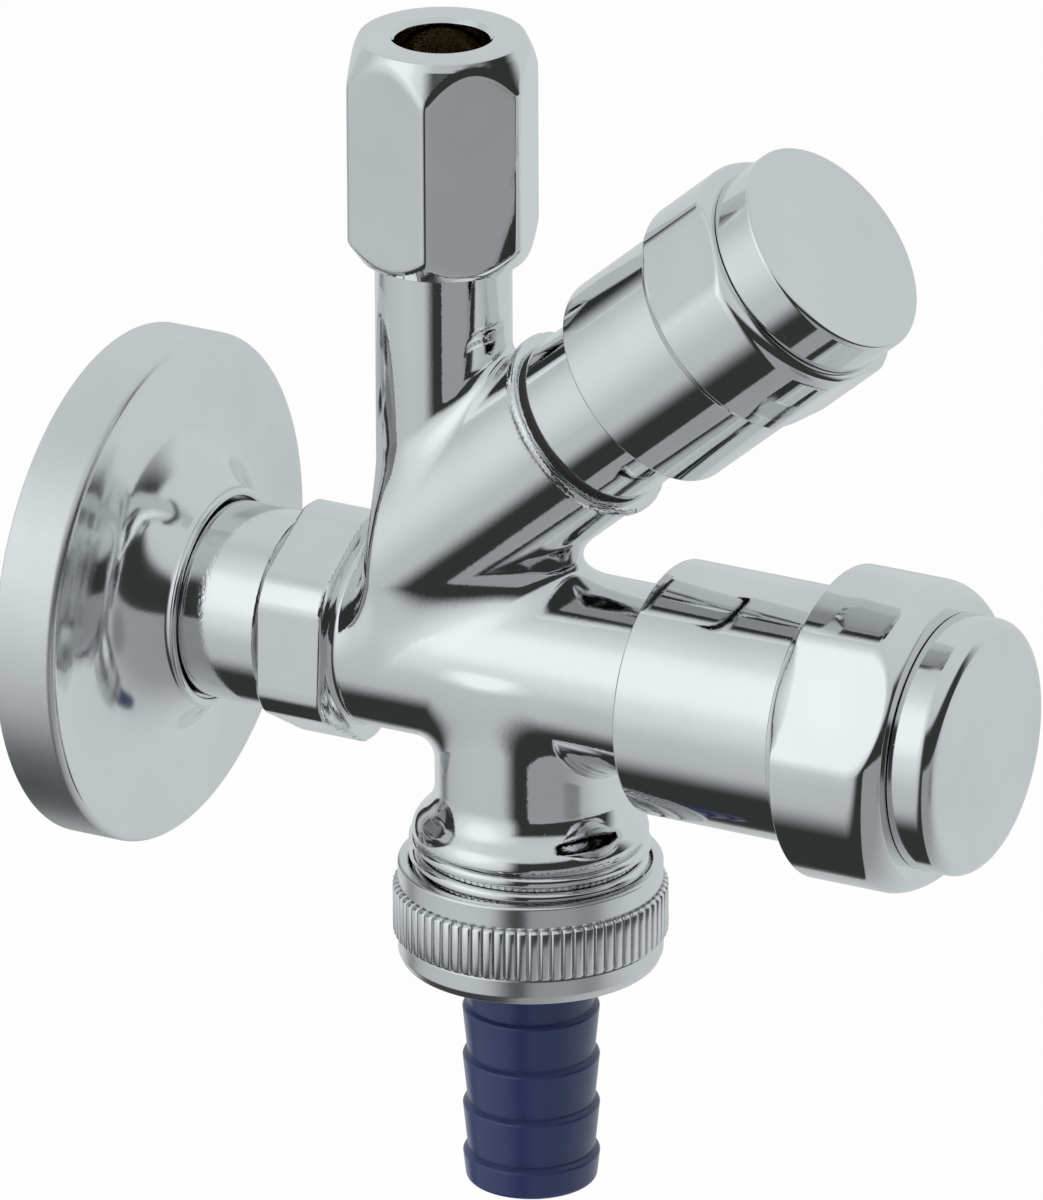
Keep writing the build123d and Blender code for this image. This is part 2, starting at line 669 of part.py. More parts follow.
def check_valve():
    """Backflow cartridge in the bottom outlet: housing, its ring, poppet, spring and guide."""
    outer = CHECK_POCKET_R - RUN
    inner = outer - CHECK_WALL
    top = CHECK_POCKET_START + SEAT_GAP
    seat_end = top + CHECK_TOP_T
    seat_start = seat_end - CHECK_SEAT_CONE
    ring_station = top + CHECK_RING_DEPTH
    ring_r = CHECK_POCKET_R - SEAT_GAP - CHECK_RING_SECTION_R
    housing = turned(
        (CHECK_SEAT_R, top),
        (outer, top),
        (outer, OUTLET_END),
        (inner, OUTLET_END),
        (inner, seat_end),
        (CHECK_SEAT_R + CHECK_SEAT_CONE, seat_end),
        (CHECK_SEAT_R, seat_start),
    )
    groove_half = CHECK_RING_SECTION_R + RUN
    housing -= tube(
        CHECK_POCKET_R + OVERRUN, ring_r - CHECK_RING_SECTION_R, ring_station - groove_half,
        ring_station + groove_half,
    )
    ring = Pos(0, 0, ring_station) * Torus(ring_r, CHECK_RING_SECTION_R - SEAT_GAP)
    cone_end = seat_start + POPPET_R - CHECK_SEAT_R + SEAT_GAP * 2
    back = cone_end + POPPET_T
    guide_start = OUTLET_END - GUIDE_T
    poppet = turned(
        (0, cone_end - POPPET_R + CHECK_SEAT_R - POPPET_NOSE),
        (CHECK_SEAT_R - POPPET_NOSE, cone_end - POPPET_R + CHECK_SEAT_R - POPPET_NOSE),
        (POPPET_R, cone_end),
        (POPPET_R, back),
        (POPPET_STEM_R, back),
        (POPPET_STEM_R, guide_start + GUIDE_T / 2),
        (0, guide_start + GUIDE_T / 2),
    )
    guide = rod(inner - RUN, guide_start, OUTLET_END)
    windows = tube(inner - GUIDE_RIM, GUIDE_BOSS_R, guide_start - OVERRUN, OUTLET_END + OVERRUN)
    for spoke in range(GUIDE_SPOKES):
        bar = Box(inner, GUIDE_SPOKE_WIDTH, OUTLET_END, align=(Align.MIN, Align.CENTER, Align.MIN))
        windows -= Rot(0, 0, spoke * 360 / GUIDE_SPOKES) * Pos(0, 0, guide_start - 2) * bar
    guide -= windows
    guide -= rod(POPPET_STEM_R + RUN, guide_start - OVERRUN, OUTLET_END + OVERRUN)
    first = back + SEAT_GAP + SPRING_WIRE_R
    rise = guide_start - SEAT_GAP - SPRING_WIRE_R - first
    path = Pos(0, 0, first) * Helix(rise / SPRING_TURNS, rise, SPRING_COIL_R)
    section = Plane(origin=path @ 0, z_dir=path % 0) * Circle(SPRING_WIRE_R)
    spring = sweep(section, path, is_frenet=True)
    return {
        "check_housing": BOTTOM * housing,
        "check_housing_ring": BOTTOM * ring,
        "check_poppet": BOTTOM * poppet,
        "check_spring": BOTTOM * spring,
        "check_guide": BOTTOM * guide,
    }


def stem_section(extra):
    """Round bar section with two flats, which keep the plunger from turning."""
    flats = Rectangle(2 * (PLUNGER_STEM_R + OVERRUN), 2 * (PLUNGER_STEM_FLAT + extra))
    return Circle(PLUNGER_STEM_R + extra) & flats


def head_parts(head):
    """Every piece of one valve head, in the head's own frame, keyed by its short name."""
    washer_r = head.seat_bore + SEAT_LIP_WALL + WASHER_MARGIN
    washer_start = head.seat + SEAT_GAP
    flange_start = head.seat + WASHER_T
    stem_start = flange_start + PLUNGER_FLANGE_T
    guide_end = head.bonnet_start + GUIDE_LENGTH
    stem_end = guide_end - head.lift - PLUNGER_TOP_GAP
    screw_end = flange_start + WASHER_SCREW_LENGTH
    bore_start = screw_end + WASHER_SCREW_ROOM
    tip = bore_start + head.lift + SPINDLE_TIP_ROOM
    collar_start = guide_end + SHAFT_LENGTH
    collar_end = collar_start + SPINDLE_COLLAR_T
    clip_start = collar_end + SEAT_GAP
    ring_station = guide_end + SHAFT_LENGTH / 2
    ring_r = SPINDLE_SHAFT_R + RUN - SEAT_GAP - ORING_SECTION_R
    seal_end = head.body_end + SEAL_T
    hub_start = head.nose_end + HUB_GAP
    front = head.cap_start - CAP_GAP
    parts = {}

    washer = tube(washer_r, WASHER_SCREW_R + RUN, washer_start, flange_start)
    parts["seat_washer"] = washer

    plunger = rod(washer_r, flange_start + SEAT_GAP, stem_start)
    plunger += Pos(0, 0, stem_start) * extrude(stem_section(0.0), stem_end - stem_start)
    plunger -= rod(SPINDLE_THREAD_R + THREAD_GAP, bore_start, stem_end + OVERRUN)
    plunger -= rod(WASHER_SCREW_R + THREAD_GAP, flange_start - OVERRUN, screw_end + RUN)
    parts["plunger"] = plunger

    screw_under = washer_start - SEAT_GAP
    washer_screw = rod(WASHER_SCREW_R, screw_under, screw_end)
    washer_screw += rod(WASHER_SCREW_HEAD_R, screw_under - WASHER_SCREW_HEAD_T, screw_under)
    slot = Box(WASHER_SCREW_HEAD_R * 3, SCREW_SLOT, WASHER_SCREW_HEAD_T)
    washer_screw -= Pos(0, 0, screw_under - WASHER_SCREW_HEAD_T) * slot
    parts["washer_screw"] = washer_screw

    bonnet = turned(
        (0, head.bonnet_start),
        (head.bonnet_bore_r - THREAD_GAP - BONNET_LEAD, head.bonnet_start),
        (head.bonnet_bore_r - THREAD_GAP, head.bonnet_start + BONNET_LEAD),
        (head.bonnet_bore_r - THREAD_GAP, seal_end),
        (head.neck_r, seal_end, NECK_EDGE),
        (head.neck_r, head.nose_end - NOSE_TAPER),
        (NOSE_R, head.nose_end),
        (0, head.nose_end),
    )
    bonnet -= Pos(0, 0, head.bonnet_start - OVERRUN) * extrude(stem_section(RUN), GUIDE_LENGTH + OVERRUN)
    bonnet -= rod(SPINDLE_SHAFT_R + RUN, guide_end - OVERRUN, collar_start + OVERRUN)
    bonnet -= rod(SPINDLE_COLLAR_R + RUN, collar_start - SEAT_GAP, head.nose_end + OVERRUN)
    groove_r = SPINDLE_COLLAR_R + RUN + CLIP_GROOVE_DEPTH
    bonnet -= rod(groove_r, clip_start - SEAT_GAP / 2, clip_start + CLIP_T + SEAT_GAP)
    parts["bonnet"] = bonnet

    seal_inner = head.bonnet_bore_r + RUN
    seal_outer = head.neck_r - NECK_EDGE
    seal = tube(seal_outer, seal_inner, head.body_end + SEAT_GAP, seal_end - SEAT_GAP)
    parts["bonnet_seal"] = seal

    clip = tube(groove_r - RUN, SPINDLE_COLLAR_R - CLIP_WALL, clip_start, clip_start + CLIP_T)
    mouth = Polyline(
        (0, 0),
        (groove_r * 2, -groove_r * 2 * tan(radians(CLIP_OPENING / 2))),
        (groove_r * 2, groove_r * 2 * tan(radians(CLIP_OPENING / 2))),
        close=True,
    )
    clip -= Pos(0, 0, clip_start - OVERRUN) * extrude(make_face(mouth), CLIP_T + 2 * OVERRUN)
    parts["spindle_clip"] = clip

    spindle = turned(
        (0, tip),
        (SPINDLE_THREAD_R - SPINDLE_LEAD, tip),
        (SPINDLE_THREAD_R, tip + SPINDLE_LEAD),
        (SPINDLE_THREAD_R, guide_end),
        (SPINDLE_SHAFT_R, guide_end + SPINDLE_SHAFT_R - SPINDLE_THREAD_R),
        (SPINDLE_SHAFT_R, collar_start),
        (SPINDLE_COLLAR_R, collar_start),
        (SPINDLE_COLLAR_R, collar_end),
        (SPINDLE_NECK_R, collar_end),
        (SPINDLE_NECK_R, head.nose_end),
        (0, head.nose_end),
    )
    groove_half = ORING_SECTION_R + RUN
    spindle -= tube(
        SPINDLE_SHAFT_R + OVERRUN, ring_r - ORING_SECTION_R, ring_station - groove_half,
        ring_station + groove_half,
    )
    spindle += square_bar(SPINDLE_SQUARE, head.nose_end, head.web_end - CAP_GAP)
    spindle -= rod(SCREW_R + THREAD_GAP, head.web_end - SCREW_LENGTH - SCREW_ROOM, head.web_end + OVERRUN)
    parts["spindle"] = spindle
    parts["spindle_ring"] = Pos(0, 0, ring_station) * Torus(ring_r, ORING_SECTION_R - SEAT_GAP)

    handle = turned(
        (head.skirt_bore, head.skirt_start),
        (head.skirt_r, head.skirt_start, SKIRT_EDGE),
        (head.skirt_r, head.grip_start),
        (head.grip_r, head.grip_full),
        (head.grip_r, head.grip_end + head.shoulder, head.shoulder),
        (head.spigot_r, head.grip_end + head.shoulder),
        (head.spigot_r, head.web_end),
        (0, head.web_end),
        (0, hub_start),
        (HUB_R, hub_start),
        (HUB_R, head.web_start),
        (head.skirt_bore, head.web_start),
    )
    handle -= rod(head.grip_r + OVERRUN, front, front + head.shoulder + OVERRUN)
    far = head.grip_r + OVERRUN
    cut = profile(
        (head.skirt_r + FLAT_RAMP, head.grip_start),
        (head.flat, head.flat_start),
        (head.flat, head.cap_end),
        (far, head.cap_end),
        (far, head.grip_start),
    )
    for k in range(GRIP_FLATS):
        flat = extrude(Plane.XZ * cut, head.grip_r, both=True)
        handle -= Rot(0, 0, k * 360 / GRIP_FLATS - head.flat_angle) * flat
    handle -= square_bar(SPINDLE_SQUARE + 2 * RUN, hub_start - OVERRUN, head.web_end + OVERRUN)
    parts["handle"] = handle

    screw_seat = head.web_end + SEAT_GAP
    screw = rod(SCREW_R, head.web_end - SCREW_LENGTH, screw_seat)
    screw += turned(
        (0, screw_seat),
        (SCREW_HEAD_R, screw_seat),
        (SCREW_HEAD_R, screw_seat + SCREW_HEAD_T, SCREW_EDGE),
        (0, screw_seat + SCREW_HEAD_T),
    )
    screw -= Pos(0, 0, screw_seat + SCREW_HEAD_T) * Box(SCREW_HEAD_R * 3, SCREW_SLOT, SCREW_HEAD_T)
    parts["handle_screw"] = screw

    spigot = head.spigot_r - RUN
    cap = turned(
        (0, head.cap_end - CAP_WALL),
        (0, head.cap_end),
        (head.cap_r, head.cap_end, head.cap_round),
        (head.cap_r, head.cap_start, CAP_FOOT_EDGE),
        (spigot, head.cap_start),
        (spigot, head.cap_start - SPIGOT_LENGTH),
        (spigot - SPIGOT_WALL, head.cap_start - SPIGOT_LENGTH),
        (spigot - SPIGOT_WALL, head.cap_end - CAP_WALL),
    )
    parts["cap"] = cap
    return {name: head.plane * shape for name, shape in parts.items()}


def main():
    """Build every piece and write one file for each."""
    pieces = {
        "valve_body": valve_body(),
        "wall_rosette": wall_rosette(),
        "compression_nut": compression_nut(),
        "compression_ring": compression_ring(),
        "union_nut": union_nut(),
        "hose_washer": hose_washer(),
        "hose_nozzle": hose_nozzle(),
    }
    pieces.update(check_valve())
    for side, head in (("upper", UPPER), ("lower", LOWER)):
        for name, shape in head_parts(head).items():
            pieces[side + "_" + name] = shape
    os.makedirs("parts", exist_ok=True)
    for name, shape in pieces.items():
        export_step(one(shape), "parts/" + name + ".step")


if __name__ == "__main__":
    main()
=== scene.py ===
"""Wall angle valve: the finish and fine form of every piece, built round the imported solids.

Sizes are in millimetres and are turned into metres where a mesh is placed. Stations along the
main axis are distances from the wall, stations along the branch start at its foot.
"""
import json
from itertools import product
from math import acos, ceil, cos, pi, radians, sin, tan
from typing import NamedTuple

import bmesh
import bpy
import numpy as np
from mathutils import Matrix, Vector


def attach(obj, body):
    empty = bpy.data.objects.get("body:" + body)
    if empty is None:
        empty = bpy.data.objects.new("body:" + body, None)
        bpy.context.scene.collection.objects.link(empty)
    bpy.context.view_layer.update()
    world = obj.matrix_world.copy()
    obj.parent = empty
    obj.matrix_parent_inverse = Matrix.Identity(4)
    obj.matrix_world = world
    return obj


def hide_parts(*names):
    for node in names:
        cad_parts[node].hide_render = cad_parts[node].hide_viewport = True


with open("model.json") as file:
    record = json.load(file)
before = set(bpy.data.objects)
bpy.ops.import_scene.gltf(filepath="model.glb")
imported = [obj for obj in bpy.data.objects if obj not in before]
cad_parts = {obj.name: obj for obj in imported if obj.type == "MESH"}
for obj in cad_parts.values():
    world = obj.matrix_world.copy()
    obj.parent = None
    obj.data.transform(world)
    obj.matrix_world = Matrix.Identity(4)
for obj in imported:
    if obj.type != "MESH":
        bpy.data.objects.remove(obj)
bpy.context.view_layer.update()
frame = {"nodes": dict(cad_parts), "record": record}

bl_info = {
    "name": "Wall angle valve",
    "version": (1, 0, 0),
    "blender": (4, 5, 0),
    "location": "3D View > Sidebar > Valve",
    "description": "Builds the chromed angle valve piece by piece, with its studio",
    "category": "Object",
}

MM = 0.001

# Inlet, collar and barrel
CENTRE = (0, 0, 0)
MAIN_AXIS = (0, -1, 0)
NECK_R = 10.9
NECK_START = 6.4
INLET_BORE_R = 7.0
INLET_BORE_END = 40.0
INLET_MAJOR_R = 10.478
INLET_BACK = 8.0
INLET_RELIEF = 1.2
COLLAR_START = 23.25
COLLAR_END = 31.25
COLLAR_FLATS = 24.0
COLLAR_TURNED_R = 13.1
COLLAR_ANGLE = 2.0
COLLAR_ROUND = 0.3
COLLAR_BEVEL = 0.2
BEVEL_OUT = 0.6
BEVEL_ALONG = 0.8
BARREL_R = 10.55
BARREL_END = 70.2

# Inclined branch
BRANCH_FOOT = 24.25
BRANCH_ANGLE = radians(40.6)
BRANCH_R = 10.45
BRANCH_END = 44.3
FOOT = (0, -BRANCH_FOOT, 0)
BRANCH_AXIS = (0.0, -cos(BRANCH_ANGLE), sin(BRANCH_ANGLE))
HEEL_STATION = 34.7
HEEL_ROUND = 2.4
LIP_R = 11.1
LIP_LENGTH = 1.1
LIP_ROUND = 0.3
CROTCH_START = 42.0
CROTCH_LENGTH = 14.0

# Chambers: the seat's station, the radius, and the radius and depth of the bonnet's room
UPPER_CHAMBER = (19.2, 6.0, 8.0, 8.7)
LOWER_CHAMBER = (47.7, 8.1, 8.6, 10.7)
OPEN_END = 2

# Top outlet
TOP_STATION = 40.2
TUBE_R = 7.4
TUBE_TOP = 50.0
TOP_THREAD_R = 8.33
TOP_THREAD_END = 61.5
PIPE_BORE_R = 5.15
PIPE_CONE = 1.25
OLIVE_R = 6.6
TOP_BORE_R = 4.6
SOCKET_START = 53.5
NUT_FLATS = 19.0
NUT_BOTTOM = 45.0
NUT_TOP = 69.9
NUT_FOOT_R = 9.0
NUT_TOP_R = 9.3
NUT_SHOULDER = 4.6
NUT_CORNER_R = 0.9
NUT_ANGLE = -12.4

# Bottom outlet, union nut and nozzle
BOTTOM_STATION = 50.5
OUTLET_NECK_R = 10.35
OUTLET_NECK_END = 16.3
OUTLET_FLARE_R = 12.9
OUTLET_FLARE_END = 19.0
FLARE_RUN = 1.0
FLARE_SLOPE = 0.7071
OUTLET_END = 29.5
OUTLET_MAJOR_R = 13.22
CHECK_POCKET_R = 8.0
UNION_TOP = 23.3
UNION_BOTTOM = 34.8
UNION_BAND_R = 14.45
UNION_KNURL_R = 15.0
UNION_KNURL_TOP = 25.9
UNION_KNURL_BOTTOM = 31.7
UNION_FOOT_R = 14.0
UNION_LIP_TOP = 33.2
UNION_LIP_R = 8.0
NOZZLE_FLANGE_R = 12.4
NOZZLE_FLANGE_TOP = 31.22
NOZZLE_VALLEY_R = 6.95
NOZZLE_COLLAR_R = 7.35
NOZZLE_BORE_R = 5.0
NOZZLE_END = 61.1
NOZZLE_END_R = 7.1
BARB_R = 7.5
BARB_PITCH = 5.72
BARB_BACK = 0.42
FIRST_BARB = 40.7

# Wall rosette
ROSETTE_R = 28.3
ROSETTE_SHEET = 0.9
ROSETTE_FACE = 7.4
ROSETTE_DISH = 6.7
ROSETTE_END = 13.2
ROSETTE_BORE_R = 11.2
FLARE_R = 23.5
FLARE_BEND = 1.9
FLARE_STEPS = 16
FLARE_ROUND = 60.0
LIP_ROLL = 0.42
THROAT_ROUND = 6.9
RIM_HAZE = 0.28

# Pipe threads of both ends, 14 turns to the inch
THREAD_PITCH = 1.814

# Outlines: a bend under STRAIGHT radians has no arc, an arc takes ARC_SHARE of a side at most, a
# corner without a rounding gets SOFT_EDGE, and flats leave walls that face in beyond INNER_WALL
STRAIGHT = 0.01
ARC_SHARE = 0.49
ARC_STEP = radians(11)
SOFT_EDGE = 0.08
INNER_WALL = -0.5

# Grids of the forging and the grips, in millimetres
FORGING_HALF = 14.4
FIELD_MARGIN = 1.2
FIELD_PASSES = 4
FORGING_STEP = 0.44
GRIP_STEP = 0.48

# Patterns of the plating, in repeats a metre
HAZE_SIZE = 55.0
SPECK_SIZE = 3300.0


def axes_matrix(origin, x_axis, z_axis):
    """Local millimetres to the part's frame in metres."""
    x_axis = Vector(x_axis).normalized()
    z_axis = Vector(z_axis).normalized()
    y_axis = z_axis.cross(x_axis)
    turn = Matrix((x_axis, y_axis, z_axis)).transposed().to_4x4()
    return Matrix.Translation(Vector(origin) * MM) @ turn @ Matrix.Scale(MM, 4)


MAIN = axes_matrix(CENTRE, (-1, 0, 0), MAIN_AXIS)
BRANCH = axes_matrix(FOOT, (-1, 0, 0), BRANCH_AXIS)
TOP = axes_matrix((0, -TOP_STATION, 0), (1, 0, 0), (0, 0, 1))
BOTTOM = axes_matrix((0, -BOTTOM_STATION, 0), (1, 0, 0), (0, 0, -1))


class Head(NamedTuple):
    """Outer form of one valve head's handle and cap: stations along its axis, and radii.

    The flats are cut from flat_start at a distance flat from the axis, and turned by flat_angle.
    The web closes the skirt behind the grip, and the cap's spigot sits in front of it.
    """

    side: str
    place: Matrix
    skirt: float
    skirt_r: float
    skirt_bore: float
    step: float
    grip: float
    grip_end: float
    grip_r: float
    flat: float
    flat_angle: float
    flat_start: float
    shoulder: float
    cap: float
    cap_end: float
    cap_r: float
    cap_round: float
    spigot_r: float
    web: float


HEADS = (
    Head("upper", BRANCH, skirt=53.6, skirt_r=12.4, skirt_bore=11.2, step=66.4, grip=67.9,
         grip_end=76.1, grip_r=13.9, flat=12.86, flat_angle=37.0, flat_start=67.4, shoulder=1.5,
         cap=77.9, cap_end=82.9, cap_r=12.25, cap_round=0.5, spigot_r=9.4, web=65.7),
    Head("lower", MAIN, skirt=67.85, skirt_r=14.0, skirt_bore=12.7, step=86.35, grip=88.4,
         grip_end=97.3, grip_r=17.1, flat=15.8, flat_angle=29.6, flat_start=89.4, shoulder=4.4,
         cap=100.8, cap_end=105.95, cap_r=14.0, cap_round=1.9, spigot_r=10.8, web=85.9),
)
GRIP_FLATS = 3
RAMP_STEP = 0.7
RAMP_BEND = 1.5
RAMP_SPREAD = 1.6
RAMP_LEAST = 0.3
SHOULDER_STEPS = 10
WEB_THICKNESS = 4.0
CAP_SEAT = 0.08
CAP_WALL = 1.2
CAP_FACE = 1.6
CAP_SPIGOT = 5


def sizes():
    """The sizes and colours that the panel offers."""
    return bpy.context.scene.valve_sizes


# Turned and flatted forms

def corner_arc(before, corner, after):
    """Start, end, middle and radius of the arc that rounds a corner of an outline.

    A corner on the axis, or one that is nearly straight, has no arc and so no middle.
    """
    here = np.array(corner[:2], float)
    if corner[0] <= 0.0:
        return here, here, None, None
    back = np.array(before[:2], float) - here
    ahead = np.array(after[:2], float) - here
    back_length = np.linalg.norm(back)
    ahead_length = np.linalg.norm(ahead)
    back /= back_length
    ahead /= ahead_length
    half = acos(max(-1.0, min(1.0, float(back @ ahead)))) / 2
    if half > pi / 2 - STRAIGHT:
        return here, here, None, None
    rounding = corner[2] if len(corner) > 2 else SOFT_EDGE
    reach = min(rounding / tan(half), back_length * ARC_SHARE, ahead_length * ARC_SHARE)
    rounding = reach * tan(half)
    middle = here + (back + ahead) / np.linalg.norm(back + ahead) * (rounding / sin(half))
    return here + back * reach, here + ahead * reach, middle, rounding


def rounded_outline(corners, step):
    """Points and outward normals round a closed outline of (radius, height[, rounding]) corners.

    The outer wall runs upwards, so the normal is on the right of the way along it.
    """
    number = len(corners)
    arcs = [corner_arc(corners[i - 1], corner, corners[(i + 1) % number])
            for i, corner in enumerate(corners)]
    rows = []
    for i, (start, end, middle, rounding) in enumerate(arcs):
        if middle is not None:
            first = np.arctan2(*(start - middle)[::-1])
            sweep = np.arctan2(*(end - middle)[::-1]) - first
            sweep = (sweep + pi) % (2 * pi) - pi
            count = max(3, ceil(abs(sweep) / ARC_STEP))
            side = 1.0 if sweep > 0 else -1.0
            for k in range(count + 1):
                turn = first + sweep * k / count
                out = np.array((cos(turn), sin(turn)))
                rows.append((*(middle + out * rounding), *(out * side)))
        next_start, _, next_middle, _ = arcs[(i + 1) % number]
        run = next_start - end
        length = np.linalg.norm(run)
        if length < 1e-9:
            continue
        normal = (run[1] / length, -run[0] / length)
        count = max(1, ceil(length / step))
        first = 0 if middle is None else 1
        last = count if next_middle is None else count - 1
        for k in range(first, last + 1):
            rows.append((*(end + run * k / count), *normal))
    return np.array(rows)


def soft_minimum(a, b, width):
    """The lesser of two values with a rounded change-over, and its slope in the first."""
    share = np.clip(0.5 + 0.5 * (b - a) / width, 0.0, 1.0)
    value = b * (1 - share) + a * share - width * share * (1 - share)
    return value, share


def turned_mesh(name, corners, segments=256, step=40.0, cuts=None):
    """Mesh of a turned piece in local millimetres, with flats cut where cuts names them.

    cuts is (number, reach, angle, edge): reach gives the radius of the cut faces from the height
    and the angle off a face's middle.
    """
    rows = rounded_outline(corners, step)
    theta = np.arange(segments) * 2 * pi / segments
    radius = np.repeat(rows[:, 0:1], segments, axis=1)
    height = np.repeat(rows[:, 1:2], segments, axis=1)
    normal_r = np.repeat(rows[:, 2:3], segments, axis=1)
    normal_z = np.repeat(rows[:, 3:4], segments, axis=1)
    normal_t = np.zeros_like(radius)
    if cuts is not None:
        number, reach_at, angle, edge = cuts
        fold = (theta - radians(angle) + pi / number) % (2 * pi / number) - pi / number
        fold = np.repeat(fold[None, :], len(rows), axis=0)
        small = 1e-3
        reach = reach_at(height, fold)
        rise = (reach_at(height + small, fold) - reach_at(height - small, fold)) / (2 * small)
        swing = (reach_at(height, fold + small) - reach_at(height, fold - small)) / (2 * small)
        outer, share = soft_minimum(radius, reach, edge)
        radius = np.where(normal_r > INNER_WALL, outer, radius)
        share = np.where(normal_r > INNER_WALL, share, 1.0)
        along_r = (1 - share) * normal_r * rise - normal_z * share
        along_z = normal_r
        normal_t = (share - 1) * swing * along_z
        normal_z = -radius * along_r
        normal_r = radius * along_z
    c, s = np.cos(theta)[None, :], np.sin(theta)[None, :]
    points = np.stack([radius * c, radius * s, height], -1)
    normals = np.stack([normal_r * c - normal_t * s, normal_r * s + normal_t * c, normal_z], -1)
    normals /= np.linalg.norm(normals, axis=-1, keepdims=True) + 1e-12
    return grid_mesh(name, points, normals)


def hexagon_reach(flat, corner):
    """Radius of a hexagon with rounded corners, by the angle off a face's middle."""
    centre = (flat - corner) / cos(pi / 6)

    def reach(height, fold):
        off = np.abs(fold)
        turn = pi / 6 - off
        across = np.maximum(corner ** 2 - (centre * np.sin(turn)) ** 2, 0.0)
        rounded = centre * np.cos(turn) + np.sqrt(across)
        straight = flat / np.cos(off)
        return np.where(np.tan(off) * flat < centre / 2, straight, rounded)

    return reach


def grip_reach(head):
    """Radius of a grip's flats and of the ramp that leads up to them."""
    corner = acos(head.flat / head.grip_r)
    start = head.skirt_r + RAMP_STEP

    def reach(height, fold):
        off = np.minimum(np.abs(fold) / corner, RAMP_SPREAD)
        ramp_end = head.flat_start + (head.grip - head.flat_start) * off ** 2
        ramp = np.maximum(ramp_end - head.step, RAMP_LEAST)
        left = np.clip((ramp_end - height) / ramp, 0.0, 1.0)
        share = 1.0 - left ** RAMP_BEND
        return start + (head.flat / np.cos(fold) - start) * share

    return reach


def grid_mesh(name, points, normals):
    """Mesh of a ring of rows that each run once round; a row on the axis becomes one point."""
    verts, vertex_normals, index = [], [], []
    for spots, outs in zip(points, normals):
        if np.hypot(spots[:, 0], spots[:, 1]).max() < 1e-6:
            index.append([len(verts)] * len(spots))
            verts.append(spots[0])
            vertex_normals.append((0, 0, 1.0 if outs[:, 2].mean() > 0 else -1.0))
            continue
        index.append(list(range(len(verts), len(verts) + len(spots))))
        verts.extend(spots)
        vertex_normals.extend(outs)
    faces = []
    count, around = points.shape[:2]
    for row in range(count):
        low, high = index[row], index[(row + 1) % count]
        for k in range(around):
            n = (k + 1) % around
            face = [low[k], low[n], high[n], high[k]]
            face = [v for j, v in enumerate(face) if v != face[j - 1]]
            if len(face) > 2:
                faces.append(face)
    return smooth_mesh(name, verts, faces, vertex_normals)


def smooth_mesh(name, verts, faces, normals):
    """Mesh with a normal of its own at each point."""
    mesh = bpy.data.meshes.new(name)
    mesh.from_pydata([tuple(v) for v in verts], [], faces)
    mesh.shade_smooth()
    mesh.normals_split_custom_set_from_vertices([tuple(n) for n in normals])
    return mesh


def placed(mesh, place, material, slot, body, *nodes):
    """Makes a finished local mesh a piece of its own name, with its place in the mesh."""
    normals = None
    if mesh.has_custom_normals:
        normals = np.zeros(len(mesh.loops) * 3, np.float32)
        mesh.corner_normals.foreach_get("vector", normals)
        normals = normals.reshape(-1, 3) @ np.array(place.to_3x3().normalized()).T
    mesh.transform(place)
    if normals is not None:
        mesh.normals_split_custom_set([tuple(n) for n in normals])
    mesh.materials.clear()
    mesh.materials.append(material)
    piece = bpy.data.objects.new(mesh.name, mesh)
    bpy.context.scene.collection.objects.link(piece)
    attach(piece, body)
    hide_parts(*nodes)


# The forging, as a rounded union of its plain forms

def rod_field(spots, origin, axis, radius, start, end):
    """Distance from a capped cylinder."""
    axis = np.array(axis, float)
    rel = spots - np.array(origin, float)
    along = rel @ axis
    side = np.sqrt(np.maximum((rel * rel).sum(-1) - along * along, 0.0)) - radius
    ends = np.abs(along - (start + end) / 2) - (end - start) / 2
    outside = np.hypot(np.maximum(side, 0), np.maximum(ends, 0))
    return np.minimum(np.maximum(side, ends), 0.0) + outside


def fillet_union(a, b, radius):
    """Union of two forms with a round fillet between them."""
    return np.maximum(radius, np.minimum(a, b)) - np.hypot(
        np.maximum(radius - a, 0.0), np.maximum(radius - b, 0.0))


def rounded_common(a, b, radius):
    """What two forms share, with its edge rounded."""
    return -fillet_union(-a, -b, radius)


def collar_field(spots):
    """Forged hexagon collar with turned corners."""
    x = spots[:, 0]
    z = spots[:, 2]
    hexagon = np.full(len(spots), -1e3)
    for k in range(3):
        turn = radians(COLLAR_ANGLE + 60 * k)
        side = np.abs(-x * cos(turn) + z * sin(turn)) - COLLAR_FLATS / 2
        hexagon = rounded_common(hexagon, side, sizes().collar_edge)
    station = -spots[:, 1]
    away = np.hypot(x, z)
    hexagon = rounded_common(hexagon, away - COLLAR_TURNED_R, COLLAR_ROUND)
    bevel = (away - COLLAR_TURNED_R + COLLAR_BEVEL) * BEVEL_OUT
    back = bevel + (COLLAR_START - station) * BEVEL_ALONG
    front = bevel + (station - COLLAR_END) * BEVEL_ALONG
    ends = np.maximum(COLLAR_START - station, station - COLLAR_END)
    form = rounded_common(hexagon, ends, 0.25)
    return rounded_common(rounded_common(form, back, COLLAR_ROUND), front, COLLAR_ROUND)


def branch_field(spots):
    """Inclined branch, level at its heel and with a lip at its end, and the top tube."""
    end = BRANCH_END - LIP_ROUND
    branch = rod_field(spots, FOOT, BRANCH_AXIS, BRANCH_R, 0, end)
    branch = rounded_common(branch, HEEL_STATION + spots[:, 1], HEEL_ROUND)
    lip = rod_field(spots, FOOT, BRANCH_AXIS, LIP_R - LIP_ROUND,
                    BRANCH_END - LIP_LENGTH + LIP_ROUND, end) - LIP_ROUND
    tube = rod_field(spots, (0, -TOP_STATION, 0), (0, 0, 1), TUBE_R, 0, TUBE_TOP)
    return fillet_union(fillet_union(branch, lip, 0.5), tube, sizes().tube_fillet)


